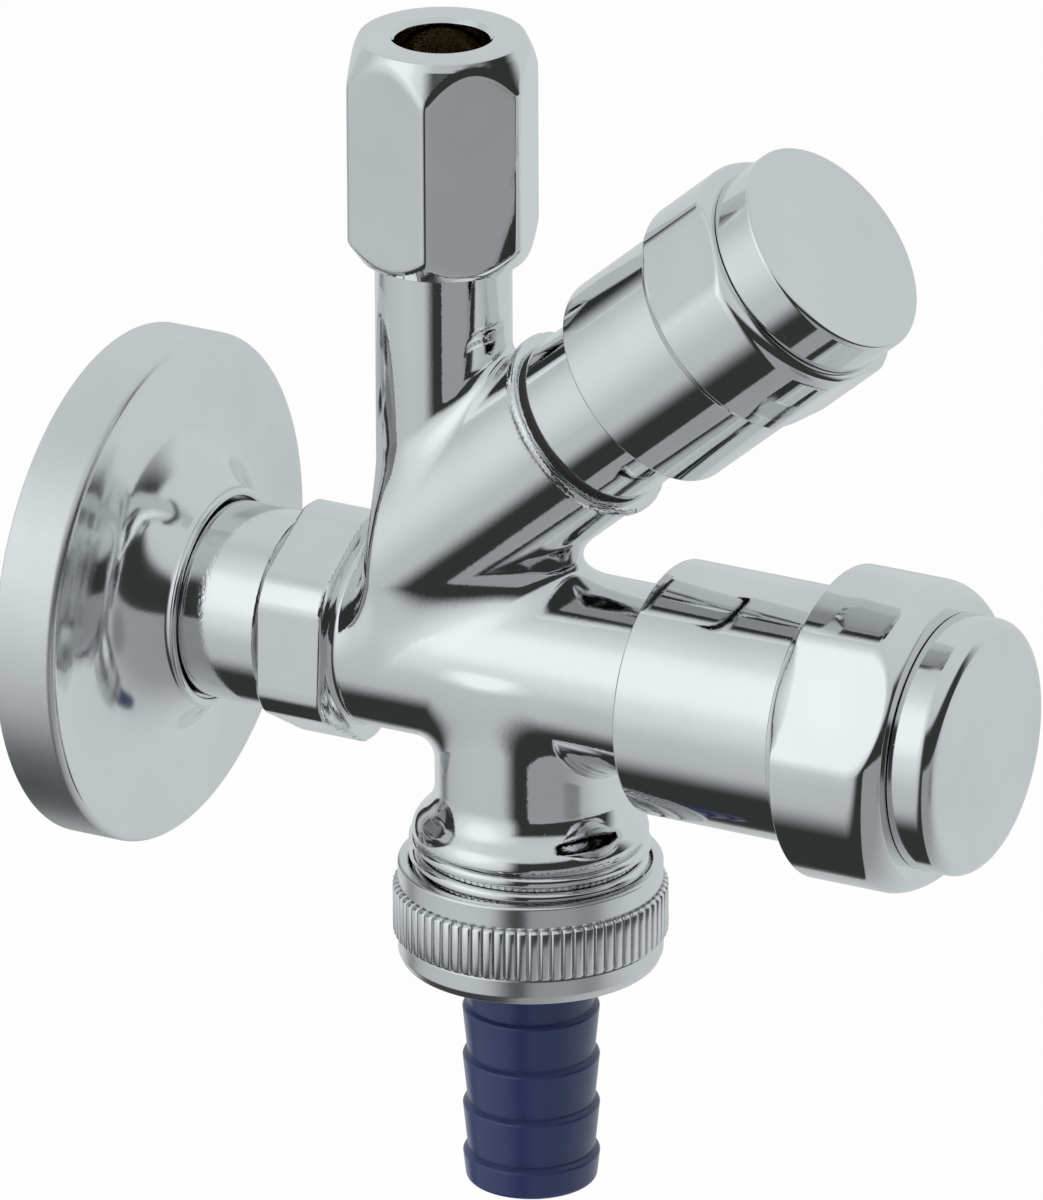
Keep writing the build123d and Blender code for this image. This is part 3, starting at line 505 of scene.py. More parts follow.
def outlet_field(spots):
    """Bottom outlet: a neck with a flare that stops at the thread."""
    neck = rod_field(spots, (0, -BOTTOM_STATION, 0), (0, 0, -1), OUTLET_NECK_R, 0, OUTLET_FLARE_END)
    depth = -spots[:, 2]
    away = np.hypot(spots[:, 0], -spots[:, 1] - BOTTOM_STATION)
    cone = (away - OUTLET_NECK_R - depth + OUTLET_NECK_END) * FLARE_SLOPE
    flare = rounded_common(cone, away - OUTLET_FLARE_R, 0.7)
    span = np.maximum(depth - OUTLET_FLARE_END - FLARE_RUN, OUTLET_NECK_END - 4 - depth)
    return fillet_union(neck, np.maximum(flare, span), 1.2)


def hollowed(form, spots):
    """A form with the inlet's bore and both valve chambers taken out."""
    bore = rod_field(spots, CENTRE, MAIN_AXIS, INLET_BORE_R, NECK_START - 5, INLET_BORE_END)
    form = rounded_common(form, -bore, 0.3)
    for origin, axis, end, (seat, chamber_r, bonnet_r, bonnet_depth) in (
            (FOOT, BRANCH_AXIS, BRANCH_END, UPPER_CHAMBER),
            (CENTRE, MAIN_AXIS, BARREL_END, LOWER_CHAMBER)):
        chamber = rod_field(spots, origin, axis, chamber_r, seat, end + OPEN_END)
        bonnet = rod_field(spots, origin, axis, bonnet_r, end - bonnet_depth, end + OPEN_END)
        form = np.maximum(form, -np.minimum(chamber, bonnet))
    return form


def forging_field(spots):
    """Distance from the valve body's outside, at points in millimetres."""
    barrel = rod_field(spots, CENTRE, MAIN_AXIS, BARREL_R, COLLAR_START, BARREL_END)
    neck = rod_field(spots, CENTRE, MAIN_AXIS, NECK_R, NECK_START, COLLAR_START + 2)
    nearness = np.clip((-spots[:, 1] - CROTCH_START) / CROTCH_LENGTH, 0.0, 1.0)
    nearness = nearness * nearness * (3 - 2 * nearness)
    crease = sizes().crease_fillet + (sizes().web_fillet - sizes().crease_fillet) * nearness
    form = fillet_union(barrel, branch_field(spots), crease)
    form = fillet_union(form, outlet_field(spots), sizes().outlet_fillet)
    form = fillet_union(form, neck, 0.2)
    form = fillet_union(form, collar_field(spots), sizes().collar_fillet)
    return hollowed(form, spots)


def field_mesh(name, field, low, high, step):
    """Closed mesh of the surface where a distance field is zero, with the field's own normals."""
    low = np.array(low, float)
    counts = np.ceil((np.array(high, float) - low) / step).astype(int) + 1
    grid = [low[a] + step * np.arange(counts[a]) for a in range(3)]
    values = np.empty(counts, np.float32)
    for i, x in enumerate(grid[0]):
        y, z = np.meshgrid(grid[1], grid[2], indexing="ij")
        spots = np.stack([np.full(y.size, x), y.ravel(), z.ravel()], -1)
        values[i] = field(spots).reshape(y.shape)
    inside = values < 0
    corners = np.zeros(counts - 1, np.int8)
    for i, j, k in product((0, 1), repeat=3):
        corners += inside[i:counts[0] - 1 + i, j:counts[1] - 1 + j, k:counts[2] - 1 + k]
    mixed = (corners > 0) & (corners < 8)
    number = np.full(mixed.shape, -1, np.int64)
    number[mixed] = np.arange(mixed.sum())
    spots = low + (np.argwhere(mixed) + 0.5) * step
    home = spots.copy()
    for _ in range(FIELD_PASSES):
        value, slope = field_slope(field, spots)
        spots = spots - slope * value[:, None]
        spots = np.clip(spots, home - step * 0.75, home + step * 0.75)
    _, normals = field_slope(field, spots)
    quads = []
    for axis in range(3):
        other = [a for a in range(3) if a != axis]
        near = [slice(None)] * 3
        far = [slice(None)] * 3
        near[axis] = slice(0, -1)
        far[axis] = slice(1, None)
        first, second = inside[tuple(near)], inside[tuple(far)]
        edge = np.argwhere(first != second)
        keep = np.all((edge[:, other] > 0) & (edge[:, other] < (counts[other] - 1)), axis=1)
        edge = edge[keep]
        leaving = first[tuple(edge.T)]
        around = []
        for da, db in ((-1, -1), (0, -1), (0, 0), (-1, 0)):
            cell = edge.copy()
            cell[:, other[0]] += da
            cell[:, other[1]] += db
            around.append(number[tuple(cell.T)])
        quad = np.stack(around, -1)
        flip = leaving if axis != 1 else ~leaving
        quad[~flip] = quad[~flip][:, ::-1]
        quads.append(quad)
    return smooth_mesh(name, spots, np.concatenate(quads).tolist(), normals)


def field_slope(field, spots, reach=0.02):
    """A field's value and unit slope at points."""
    value = field(spots)
    slope = np.empty_like(spots)
    for axis in range(3):
        shift = np.zeros(3)
        shift[axis] = reach
        slope[:, axis] = field(spots + shift) - field(spots - shift)
    slope /= np.linalg.norm(slope, axis=1, keepdims=True) + 1e-12
    return value, slope


# Geometry node trees

def new_tree(name, sockets):
    """Empty geometry node tree with named inputs; returns it with its two end nodes."""
    tree = bpy.data.node_groups.new(name, "GeometryNodeTree")
    tree.interface.new_socket("Geometry", in_out="OUTPUT", socket_type="NodeSocketGeometry")
    tree.interface.new_socket("Geometry", in_out="INPUT", socket_type="NodeSocketGeometry")
    for label, kind, default in sockets:
        socket = tree.interface.new_socket(label, in_out="INPUT", socket_type="NodeSocket" + kind)
        if default is not None:
            socket.default_value = default
    start = tree.nodes.new("NodeGroupInput")
    end = tree.nodes.new("NodeGroupOutput")
    return tree, start, end


def add_node(tree, kind, inputs=(), **settings):
    """New node with its settings; inputs gives (socket, value or other node's output) pairs."""
    node = tree.nodes.new(kind)
    for label, value in settings.items():
        setattr(node, label, value)
    for label, value in inputs:
        if isinstance(value, bpy.types.NodeSocket):
            tree.links.new(value, node.inputs[label])
        else:
            node.inputs[label].default_value = value
    return node


def finish_tree(tree, start, end, geometry):
    """Ends a tree in real geometry with its material."""
    realize = add_node(tree, "GeometryNodeRealizeInstances", [(0, geometry)])
    smooth = add_node(tree, "GeometryNodeSetShadeSmooth", [(0, realize.outputs[0])])
    paint = add_node(tree, "GeometryNodeSetMaterial", [
        (0, smooth.outputs[0]), ("Material", start.outputs["Material"])])
    tree.links.new(paint.outputs[0], end.inputs[0])
    return tree


def maths(tree, operation, first, second):
    """Value of a two-sided sum; each side is a socket or a number."""
    node = add_node(tree, "ShaderNodeMath", [(0, first), (1, second)], operation=operation)
    return node.outputs[0]


def upward(tree, height):
    """Vector that points up by a height."""
    return add_node(tree, "ShaderNodeCombineXYZ", [("Z", height)]).outputs[0]


def thread_tree():
    """Ridge of a screw thread that climbs round the Z axis."""
    tree, start, end = new_tree("valve_thread_ridge", (
        ("Crest radius", "Float", 13.0), ("Pitch", "Float", THREAD_PITCH),
        ("Depth", "Float", 1.16), ("Turns", "Float", 4.0), ("Start height", "Float", 0.0),
        ("Steps a turn", "Int", 96), ("Material", "Material", None)))
    size = start.outputs
    root = maths(tree, "SUBTRACT", size["Crest radius"], size["Depth"])
    spiral = add_node(tree, "GeometryNodeCurveSpiral", [
        ("Resolution", size["Steps a turn"]), ("Rotations", size["Turns"]),
        ("Start Radius", root), ("End Radius", root),
        ("Height", maths(tree, "MULTIPLY", size["Pitch"], size["Turns"]))])
    upright = add_node(tree, "GeometryNodeSetCurveNormal", [(0, spiral.outputs[0])], mode="Z_UP")
    ridge = add_node(tree, "GeometryNodeCurvePrimitiveCircle", [("Resolution", 4), ("Radius", 1.0)])
    scale = add_node(tree, "ShaderNodeCombineXYZ", [
        ("X", size["Depth"]), ("Y", maths(tree, "MULTIPLY", size["Pitch"], 0.5)), ("Z", 1.0)])
    shape = add_node(tree, "GeometryNodeTransform", [
        (0, ridge.outputs[0]), ("Scale", scale.outputs[0])])
    sweep = add_node(tree, "GeometryNodeCurveToMesh", [
        ("Curve", upright.outputs[0]), ("Profile Curve", shape.outputs[0]), ("Fill Caps", True)])
    lift = add_node(tree, "GeometryNodeTransform", [
        (0, sweep.outputs[0]), ("Translation", upward(tree, size["Start height"]))])
    return finish_tree(tree, start, end, lift.outputs[0])


def repeated(tree, start, points, turn=None):
    """The tree's Shape at each of the points, turned where a rotation is given."""
    shape = add_node(tree, "GeometryNodeObjectInfo", [("Object", start.outputs["Shape"])])
    spread = add_node(tree, "GeometryNodeInstanceOnPoints", [
        ("Points", points.outputs[0]), ("Instance", shape.outputs["Geometry"])])
    if turn is not None:
        tree.links.new(turn, spread.inputs["Rotation"])
    return spread.outputs[0]


def ring_tree():
    """A shape repeated round the Z axis."""
    tree, start, end = new_tree("valve_ring_of_ribs", (
        ("Shape", "Object", None), ("Radius", "Float", 15.0), ("Count", "Int", 74),
        ("Material", "Material", None)))
    ring = add_node(tree, "GeometryNodeMeshCircle", [
        ("Vertices", start.outputs["Count"]), ("Radius", start.outputs["Radius"])])
    position = add_node(tree, "GeometryNodeInputPosition")
    align = add_node(tree, "FunctionNodeAlignRotationToVector", [("Vector", position.outputs[0])],
                     axis="X", pivot_axis="Z")
    return finish_tree(tree, start, end, repeated(tree, start, ring, align.outputs[0]))


def stack_tree():
    """A ring repeated along the Z axis."""
    tree, start, end = new_tree("valve_stack_of_barbs", (
        ("Shape", "Object", None), ("First", "Float", FIRST_BARB), ("Pitch", "Float", BARB_PITCH),
        ("Count", "Int", 4), ("Material", "Material", None)))
    line = add_node(tree, "GeometryNodeMeshLine", [
        ("Count", start.outputs["Count"]),
        ("Start Location", upward(tree, start.outputs["First"])),
        ("Offset", upward(tree, start.outputs["Pitch"]))])
    return finish_tree(tree, start, end, repeated(tree, start, line))


def grown(name, tree, values):
    """Plain mesh that a tree makes from named values."""
    carrier = bpy.data.objects.new(name + "_carrier", bpy.data.meshes.new(name + "_carrier"))
    bpy.context.scene.collection.objects.link(carrier)
    modifier = carrier.modifiers.new("grow", "NODES")
    modifier.node_group = tree
    sockets = {item.name: item.identifier for item in tree.interface.items_tree
               if item.item_type == "SOCKET" and item.in_out == "INPUT"}
    for label, value in values.items():
        modifier[sockets[label]] = value
    bpy.context.view_layer.update()
    result = carrier.evaluated_get(bpy.context.evaluated_depsgraph_get())
    mesh = bpy.data.meshes.new_from_object(result)
    mesh.name = name
    bpy.data.objects.remove(carrier)
    if not mesh.polygons:
        raise RuntimeError(name + " came out empty")
    return mesh


def helper_object(name, mesh):
    """Short-lived object whose mesh a tree repeats."""
    helper = bpy.data.objects.new(name, mesh)
    bpy.context.scene.collection.objects.link(helper)
    return helper


# Shader groups and materials

def shader_group(name, sockets_in, sockets_out):
    """Empty shader node group with named inputs and outputs."""
    group = bpy.data.node_groups.new(name, "ShaderNodeTree")
    for label, default in sockets_in:
        socket = group.interface.new_socket(label, in_out="INPUT", socket_type="NodeSocketFloat")
        socket.default_value = default
    for label in sockets_out:
        group.interface.new_socket(label, in_out="OUTPUT", socket_type="NodeSocketFloat")
    return group, group.nodes.new("NodeGroupInput"), group.nodes.new("NodeGroupOutput")


def noise_node(tree, vector, scale, detail, roughness):
    """Noise texture on a vector; scale is a socket or a number, per metre."""
    noise = add_node(tree, "ShaderNodeTexNoise", [
        ("Vector", vector), ("Scale", scale), ("Detail", detail), ("Roughness", roughness)])
    return noise.outputs["Fac"]


def spread_of(tree, value, low, high, out_low=0.0, out_high=1.0, curve="LINEAR"):
    """Value mapped from one range to another and held there."""
    node = add_node(tree, "ShaderNodeMapRange", [
        ("Value", value), ("From Min", low), ("From Max", high), ("To Min", out_low),
        ("To Max", out_high)], interpolation_type=curve)
    return node.outputs["Result"]


def plating_group():
    """Unevenness of a polished surface: a broad wave, a fine skin and faint haze."""
    name = "valve_plating"
    if name in bpy.data.node_groups:
        return bpy.data.node_groups[name]
    group, start, end = shader_group(
        name, (("Wave size", 140.0), ("Skin size", 2400.0), ("Skin share", 0.12)),
        ("Height", "Haze", "Specks"))
    place = group.nodes.new("ShaderNodeTexCoord").outputs["Object"]
    wave = noise_node(group, place, start.outputs["Wave size"], detail=1.0, roughness=0.4)
    skin = noise_node(group, place, start.outputs["Skin size"], detail=2.0, roughness=0.6)
    part = maths(group, "MULTIPLY", skin, start.outputs["Skin share"])
    haze = noise_node(group, place, HAZE_SIZE, detail=4.0, roughness=0.65)
    specks = noise_node(group, place, SPECK_SIZE, detail=1.0, roughness=0.5)
    group.links.new(maths(group, "ADD", wave, part), end.inputs["Height"])
    group.links.new(spread_of(group, haze, 0.35, 0.75), end.inputs["Haze"])
    group.links.new(spread_of(group, specks, 0.74, 0.8), end.inputs["Specks"])
    return group


def add_group(tree, group, **values):
    """Places a shader group with its own values."""
    inputs = [(label.replace("_", " "), value) for label, value in values.items()]
    return add_node(tree, "ShaderNodeGroup", inputs, node_tree=group)


def base_material(name, colour, metallic, roughness):
    """Material with its Principled shader; returns the material and the shader."""
    material = bpy.data.materials.new(name)
    material.use_nodes = True
    shader = material.node_tree.nodes["Principled BSDF"]
    shader.inputs["Base Color"].default_value = (*colour, 1.0)
    shader.inputs["Metallic"].default_value = metallic
    shader.inputs["Roughness"].default_value = roughness
    return material, shader


def bump_into(tree, shader, height, strength, distance):
    """Bump from a height into the shader's normal; distance in metres."""
    bump = add_node(tree, "ShaderNodeBump", [
        ("Strength", strength), ("Distance", distance), ("Height", height)])
    tree.links.new(bump.outputs["Normal"], shader.inputs["Normal"])


def hazy_colour(tree, shader, haze, clear, hazy):
    """Gives the shader a colour that turns to another where the plating is hazy."""
    mix = add_node(tree, "ShaderNodeMix", data_type="RGBA")
    mix.inputs["A"].default_value = (*clear, 1.0)
    mix.inputs["B"].default_value = (*hazy, 1.0)
    tree.links.new(haze, mix.inputs["Factor"])
    tree.links.new(mix.outputs["Result"], shader.inputs["Base Color"])


def chrome_material(name, wave, wave_size, roughness, haze):
    """Chrome plate; wave is the depth in metres of what the polish left uneven."""
    if name in bpy.data.materials:
        return bpy.data.materials[name]
    colour = tuple(sizes().chrome_colour)
    material, shader = base_material(name, colour, 1.0, roughness)
    tree = material.node_tree
    plating = add_group(tree, plating_group(), Wave_size=wave_size)
    soft = spread_of(tree, plating.outputs["Haze"], 0.0, 1.0, roughness, roughness + haze)
    rough = maths(tree, "MAXIMUM", soft, maths(tree, "MULTIPLY", plating.outputs["Specks"], 0.3))
    tree.links.new(rough, shader.inputs["Roughness"])
    hazy_colour(tree, shader, plating.outputs["Haze"], colour, tuple(c * 0.93 for c in colour))
    bump_into(tree, shader, plating.outputs["Height"], 1.0, wave)
    return material


def plain_metal(name, colour, roughness, depth):
    """Turned metal of the inner pieces."""
    if name in bpy.data.materials:
        return bpy.data.materials[name]
    material, shader = base_material(name, colour, 1.0, roughness)
    tree = material.node_tree
    plating = add_group(tree, plating_group(), Wave_size=900.0, Skin_share=0.6)
    soft = spread_of(tree, plating.outputs["Haze"], 0.0, 1.0, roughness * 0.7, roughness * 1.5)
    tree.links.new(soft, shader.inputs["Roughness"])
    hazy_colour(tree, shader, plating.outputs["Haze"], colour, tuple(c * 0.75 for c in colour))
    bump_into(tree, shader, plating.outputs["Height"], 0.6, depth)
    return material


def moulded_material(name, colour, lighter, roughness, depth):
    """Moulded plastic or rubber with a faint skin and cloudy colour."""
    if name in bpy.data.materials:
        return bpy.data.materials[name]
    material, shader = base_material(name, colour, 0.0, roughness)
    tree = material.node_tree
    plating = add_group(tree, plating_group(), Wave_size=420.0, Skin_size=5200.0, Skin_share=0.5)
    hazy_colour(tree, shader, plating.outputs["Haze"], colour, lighter)
    soft = spread_of(tree, plating.outputs["Haze"], 0.0, 1.0, roughness, roughness + 0.12)
    tree.links.new(soft, shader.inputs["Roughness"])
    bump_into(tree, shader, plating.outputs["Height"], 0.5, depth)
    return material


def forged_chrome():
    """Polished forging: its surface keeps a slight wave."""
    return chrome_material("forged_chrome", wave=0.00004, wave_size=120.0, roughness=0.045, haze=0.05)


def turned_chrome():
    """Turned pieces, plated over a finer surface."""
    return chrome_material("turned_chrome", wave=0.000012, wave_size=160.0, roughness=0.03, haze=0.04)


def dull_chrome():
    """Union nut: plated over a coarser surface."""
    return chrome_material("dull_chrome", wave=0.00003, wave_size=260.0, roughness=0.2, haze=0.12)


def pressed_chrome():
    """Pressed sheet of the rosette; its rim keeps a brushed finish."""
    material = chrome_material("pressed_chrome", wave=0.00003, wave_size=60.0, roughness=0.1, haze=0.1)
    tree = material.node_tree
    place = tree.nodes.new("ShaderNodeTexCoord").outputs["Object"]
    spot = add_node(tree, "ShaderNodeSeparateXYZ", [(0, place)])
    squares = [maths(tree, "MULTIPLY", spot.outputs[axis], spot.outputs[axis]) for axis in "XZ"]
    radius = maths(tree, "SQRT", maths(tree, "ADD", *squares), 0.0)
    rim = spread_of(tree, radius, (ROSETTE_R - 0.6) * MM, (ROSETTE_R - 0.1) * MM, 0.0, RIM_HAZE)
    shader = tree.nodes["Principled BSDF"]
    plain = shader.inputs["Roughness"].links[0].from_socket
    tree.links.new(maths(tree, "ADD", plain, rim), shader.inputs["Roughness"])
    return material


def cap_chrome():
    """Plated faces of the caps, a little softer."""
    return chrome_material("cap_chrome", wave=0.00001, wave_size=90.0, roughness=0.06, haze=0.08)


def brass():
    """Turned brass of the spindles, the plungers, their screws and the pipe's ring."""
    return plain_metal("turned_brass", (0.78, 0.6, 0.3), roughness=0.22, depth=0.00002)


def steel():
    """Steel of the spring, the clips and the handle screws."""
    return plain_metal("drawn_steel", (0.62, 0.62, 0.63), roughness=0.25, depth=0.00001)


def rubber():
    """Black rubber of the seals."""
    return moulded_material("black_rubber", (0.02, 0.02, 0.02), lighter=(0.035, 0.035, 0.035),
                            roughness=0.55, depth=0.00003)


def fibre():
    """Grey fibre of the flat seals."""
    return moulded_material("grey_fibre", (0.05, 0.05, 0.048), lighter=(0.09, 0.088, 0.08),
                            roughness=0.8, depth=0.00005)


def white_plastic():
    """White plastic of the check valve."""
    return moulded_material("white_plastic", (0.78, 0.78, 0.75), lighter=(0.7, 0.7, 0.67),
                            roughness=0.4, depth=0.00002)


def blue_plastic():
    """Hose nozzle: deep blue, moulded, with a soft shine."""
    dark = tuple(sizes().nozzle_colour)
    lighter = tuple(min(1.0, c * 1.35 + 0.004) for c in dark)
    return moulded_material("blue_plastic", dark, lighter, roughness=0.33, depth=0.00003)


SLOT_MATERIALS = {
    "chrome_plate": turned_chrome, "satin_chrome": cap_chrome, "brass": brass,
    "black_rubber": rubber, "fibre": fibre, "spring_steel": steel,
    "white_plastic": white_plastic, "blue_plastic": blue_plastic,
}


# Pieces

def make_forging():
    """Body forging: its outside, the inlet's bore and the two valve chambers."""
    low = (-FORGING_HALF, -BARREL_END - FIELD_MARGIN, -OUTLET_FLARE_END - FLARE_RUN - FIELD_MARGIN)
    high = (FORGING_HALF, -NECK_START + FIELD_MARGIN, TUBE_TOP + FIELD_MARGIN)
    mesh = field_mesh("valve_forging", forging_field, low, high, FORGING_STEP)
    placed(mesh, Matrix.Scale(MM, 4), forged_chrome(), "chrome_plate", "valve", "valve_body")


def make_thread(name, tree, place, crest, start, turns):
    """Thread ridge on one end of the body."""
    ridge = grown(name, tree, {
        "Crest radius": crest, "Depth": sizes().thread_depth, "Turns": turns,
        "Start height": start, "Material": turned_chrome()})
    placed(ridge, place, turned_chrome(), "chrome_plate", "valve", "valve_body")


def make_body_ends():
    """Threaded ends of the body: inlet, top outlet and bottom outlet."""
    tree = thread_tree()
    core = INLET_MAJOR_R - sizes().thread_depth
    thread_end = NECK_START - INLET_RELIEF
    overlap = NECK_START + 1.5
    inlet = turned_mesh("inlet_end", [
        (INLET_BORE_R, -INLET_BACK, 0.3), (core, -INLET_BACK, 0.5), (core, thread_end, 0.1),
        (NECK_R, thread_end, 0.4), (NECK_R, overlap), (INLET_BORE_R, overlap)])
    placed(inlet, MAIN, turned_chrome(), "chrome_plate", "valve", "valve_body")
    make_thread("inlet_thread", tree, MAIN, INLET_MAJOR_R, -INLET_BACK + THREAD_PITCH * 0.55,
                (INLET_BACK + thread_end) / THREAD_PITCH - 0.9)
    foot = TUBE_TOP - 6
    tube_r = TUBE_R - 0.1
    mouth = turned_mesh("tube_end", [
        (TOP_BORE_R, foot, 0.1), (tube_r, foot, 0.1), (tube_r, TUBE_TOP - 1),
        (TOP_THREAD_R, TUBE_TOP), (TOP_THREAD_R, TOP_THREAD_END - 0.8),
        (TOP_THREAD_R - 0.8, TOP_THREAD_END), (PIPE_BORE_R + PIPE_CONE, TOP_THREAD_END),
        (PIPE_BORE_R, TOP_THREAD_END - PIPE_CONE), (PIPE_BORE_R, SOCKET_START),
        (TOP_BORE_R, SOCKET_START)], segments=128)
    placed(mouth, TOP, turned_chrome(), "chrome_plate", "valve", "valve_body")
    core = OUTLET_MAJOR_R - sizes().thread_depth
    outlet = turned_mesh("outlet_end", [
        (CHECK_POCKET_R, OUTLET_FLARE_END - 1, 0.1), (core - 0.3, OUTLET_FLARE_END - 1, 0.1),
        (core, OUTLET_FLARE_END), (core, OUTLET_END - 0.4), (core - 0.4, OUTLET_END),
        (CHECK_POCKET_R, OUTLET_END, 0.2)])
    placed(outlet, BOTTOM, turned_chrome(), "chrome_plate", "valve", "valve_body")
    make_thread("outlet_thread", tree, BOTTOM, OUTLET_MAJOR_R,
                OUTLET_FLARE_END + THREAD_PITCH * 0.6,
                (OUTLET_END - OUTLET_FLARE_END) / THREAD_PITCH - 1.1)


def make_rosette():
    """Pressed wall rosette with a rolled throat."""
    throat = ROSETTE_BORE_R + ROSETTE_SHEET
    flare_end = ROSETTE_END - 0.8
    flare = []
    for k in range(FLARE_STEPS + 1):
        share = k / FLARE_STEPS
        radius = FLARE_R + (throat - FLARE_R) * share ** (1 / FLARE_BEND)
        height = ROSETTE_DISH + (flare_end - ROSETTE_DISH) * share ** FLARE_BEND
        flare.append((radius, height, FLARE_ROUND))
    mesh = turned_mesh("rosette_sheet", [
        (ROSETTE_R - ROSETTE_SHEET, 0, 0.15), (ROSETTE_R, 0, 0.3),
        (ROSETTE_R, ROSETTE_FACE, sizes().rosette_edge), *flare, (throat, ROSETTE_END, LIP_ROLL),
        (ROSETTE_BORE_R, ROSETTE_END, LIP_ROLL),
        (ROSETTE_BORE_R, ROSETTE_DISH - ROSETTE_SHEET, THROAT_ROUND),
        (ROSETTE_R - ROSETTE_SHEET, ROSETTE_FACE - ROSETTE_SHEET, 1.1)], segments=320)
    placed(mesh, MAIN, pressed_chrome(), "chrome_plate", "rosette", "wall_rosette")


def make_compression_nut():
    """Long hexagon nut with turned ends and the pipe's bore."""
    corner_r = NUT_FLATS / 2 / cos(pi / 6)
    bore_r = TOP_THREAD_R + 0.05
    seat = TOP_THREAD_END + 0.6
    mesh = turned_mesh("hexagon_nut", [
        (bore_r, NUT_BOTTOM, 0.3), (NUT_FOOT_R, NUT_BOTTOM, 0.25),
        (corner_r, NUT_BOTTOM + 2.8, 0.8), (corner_r, NUT_TOP - NUT_SHOULDER, 2.5),
        (NUT_TOP_R + 0.1, NUT_TOP - 0.9, 0.8), (NUT_TOP_R - 0.35, NUT_TOP, 0.3),
        (PIPE_BORE_R + 0.5, NUT_TOP, 0.15), (PIPE_BORE_R, NUT_TOP - 0.5, 0.15),
        (PIPE_BORE_R, TOP_THREAD_END + 4.2), (OLIVE_R, TOP_THREAD_END + 2.7),
        (OLIVE_R, seat), (bore_r, seat)],
        segments=432, step=0.4,
        cuts=(6, hexagon_reach(NUT_FLATS / 2, NUT_CORNER_R), NUT_ANGLE, sizes().nut_edge))
    placed(mesh, TOP, turned_chrome(), "chrome_plate", "valve", "compression_nut")


def rib_mesh():
    """One rib of the knurl: a low bar with rounded top and sloping ends."""
    width = 2 * pi * UNION_KNURL_R / sizes().knurl_ribs * sizes().knurl_share
    low = -(UNION_KNURL_R - UNION_BAND_R) - 0.15
    section = ((low, -width / 2), (-0.22, -width / 2), (-0.05, -width * 0.4), (0.0, -width * 0.2),
               (0.0, width * 0.2), (-0.05, width * 0.4), (-0.22, width / 2), (low, width / 2))
    ends = ((UNION_KNURL_TOP, 0.62), (UNION_KNURL_TOP + 0.35, 1.0),
            (UNION_KNURL_BOTTOM - 0.35, 1.0), (UNION_KNURL_BOTTOM, 0.62))
    mesh = bpy.data.meshes.new("knurl_rib")
    verts = []
    for height, fullness in ends:
        for out, side in section:
            verts.append((low + (out - low) * fullness, side, height))
    faces = []
    count = len(section)
    for row in range(len(ends) - 1):
        for k in range(count):
            n = (k + 1) % count
            low_row, high_row = row * count, (row + 1) * count
            faces.append((low_row + k, low_row + n, high_row + n, high_row + k))
    faces.append(tuple(reversed(range(count))))
    faces.append(tuple(range((len(ends) - 1) * count, len(ends) * count)))
    mesh.from_pydata(verts, [], faces)
    shape = bmesh.new()
    shape.from_mesh(mesh)
    bmesh.ops.recalc_face_normals(shape, faces=shape.faces)
    shape.to_mesh(mesh)
    shape.free()
    return mesh


def make_union_nut():
    """Union nut: turned bands and a straight knurl between them."""
    core = UNION_BAND_R - 0.1
    bore_r = OUTLET_MAJOR_R + 0.05
    mesh = turned_mesh("union_bands", [
        (bore_r, UNION_TOP, 0.2), (UNION_BAND_R, UNION_TOP, 0.3),
        (UNION_BAND_R, UNION_KNURL_TOP - 0.3, 0.12), (core, UNION_KNURL_TOP, 0.1),
        (core, UNION_KNURL_BOTTOM, 0.1), (UNION_BAND_R, UNION_KNURL_BOTTOM + 0.3, 0.12),
        (UNION_BAND_R, UNION_BOTTOM - 1.0, 0.5), (UNION_FOOT_R, UNION_BOTTOM, 0.35),
        (UNION_LIP_R, UNION_BOTTOM, 0.2), (UNION_LIP_R, UNION_LIP_TOP), (bore_r, UNION_LIP_TOP)],
        segments=296)
    placed(mesh, BOTTOM, dull_chrome(), "chrome_plate", "valve", "union_nut")
    rib = helper_object("knurl_rib_shape", rib_mesh())
    ribs = grown("union_knurl", ring_tree(), {
        "Shape": rib, "Radius": UNION_KNURL_R, "Count": sizes().knurl_ribs,
        "Material": dull_chrome()})
    bpy.data.objects.remove(rib)
    placed(ribs, BOTTOM, dull_chrome(), "chrome_plate", "valve", "union_nut")


def barb_edge(height):
    """Corners of a barb's back and rim, with its rim at about a height."""
    return ((NOZZLE_VALLEY_R - 0.02, height - BARB_BACK, 0.15), (BARB_R - 0.1, height - 0.1, 0.1),
            (BARB_R, height + 0.12, 0.12))


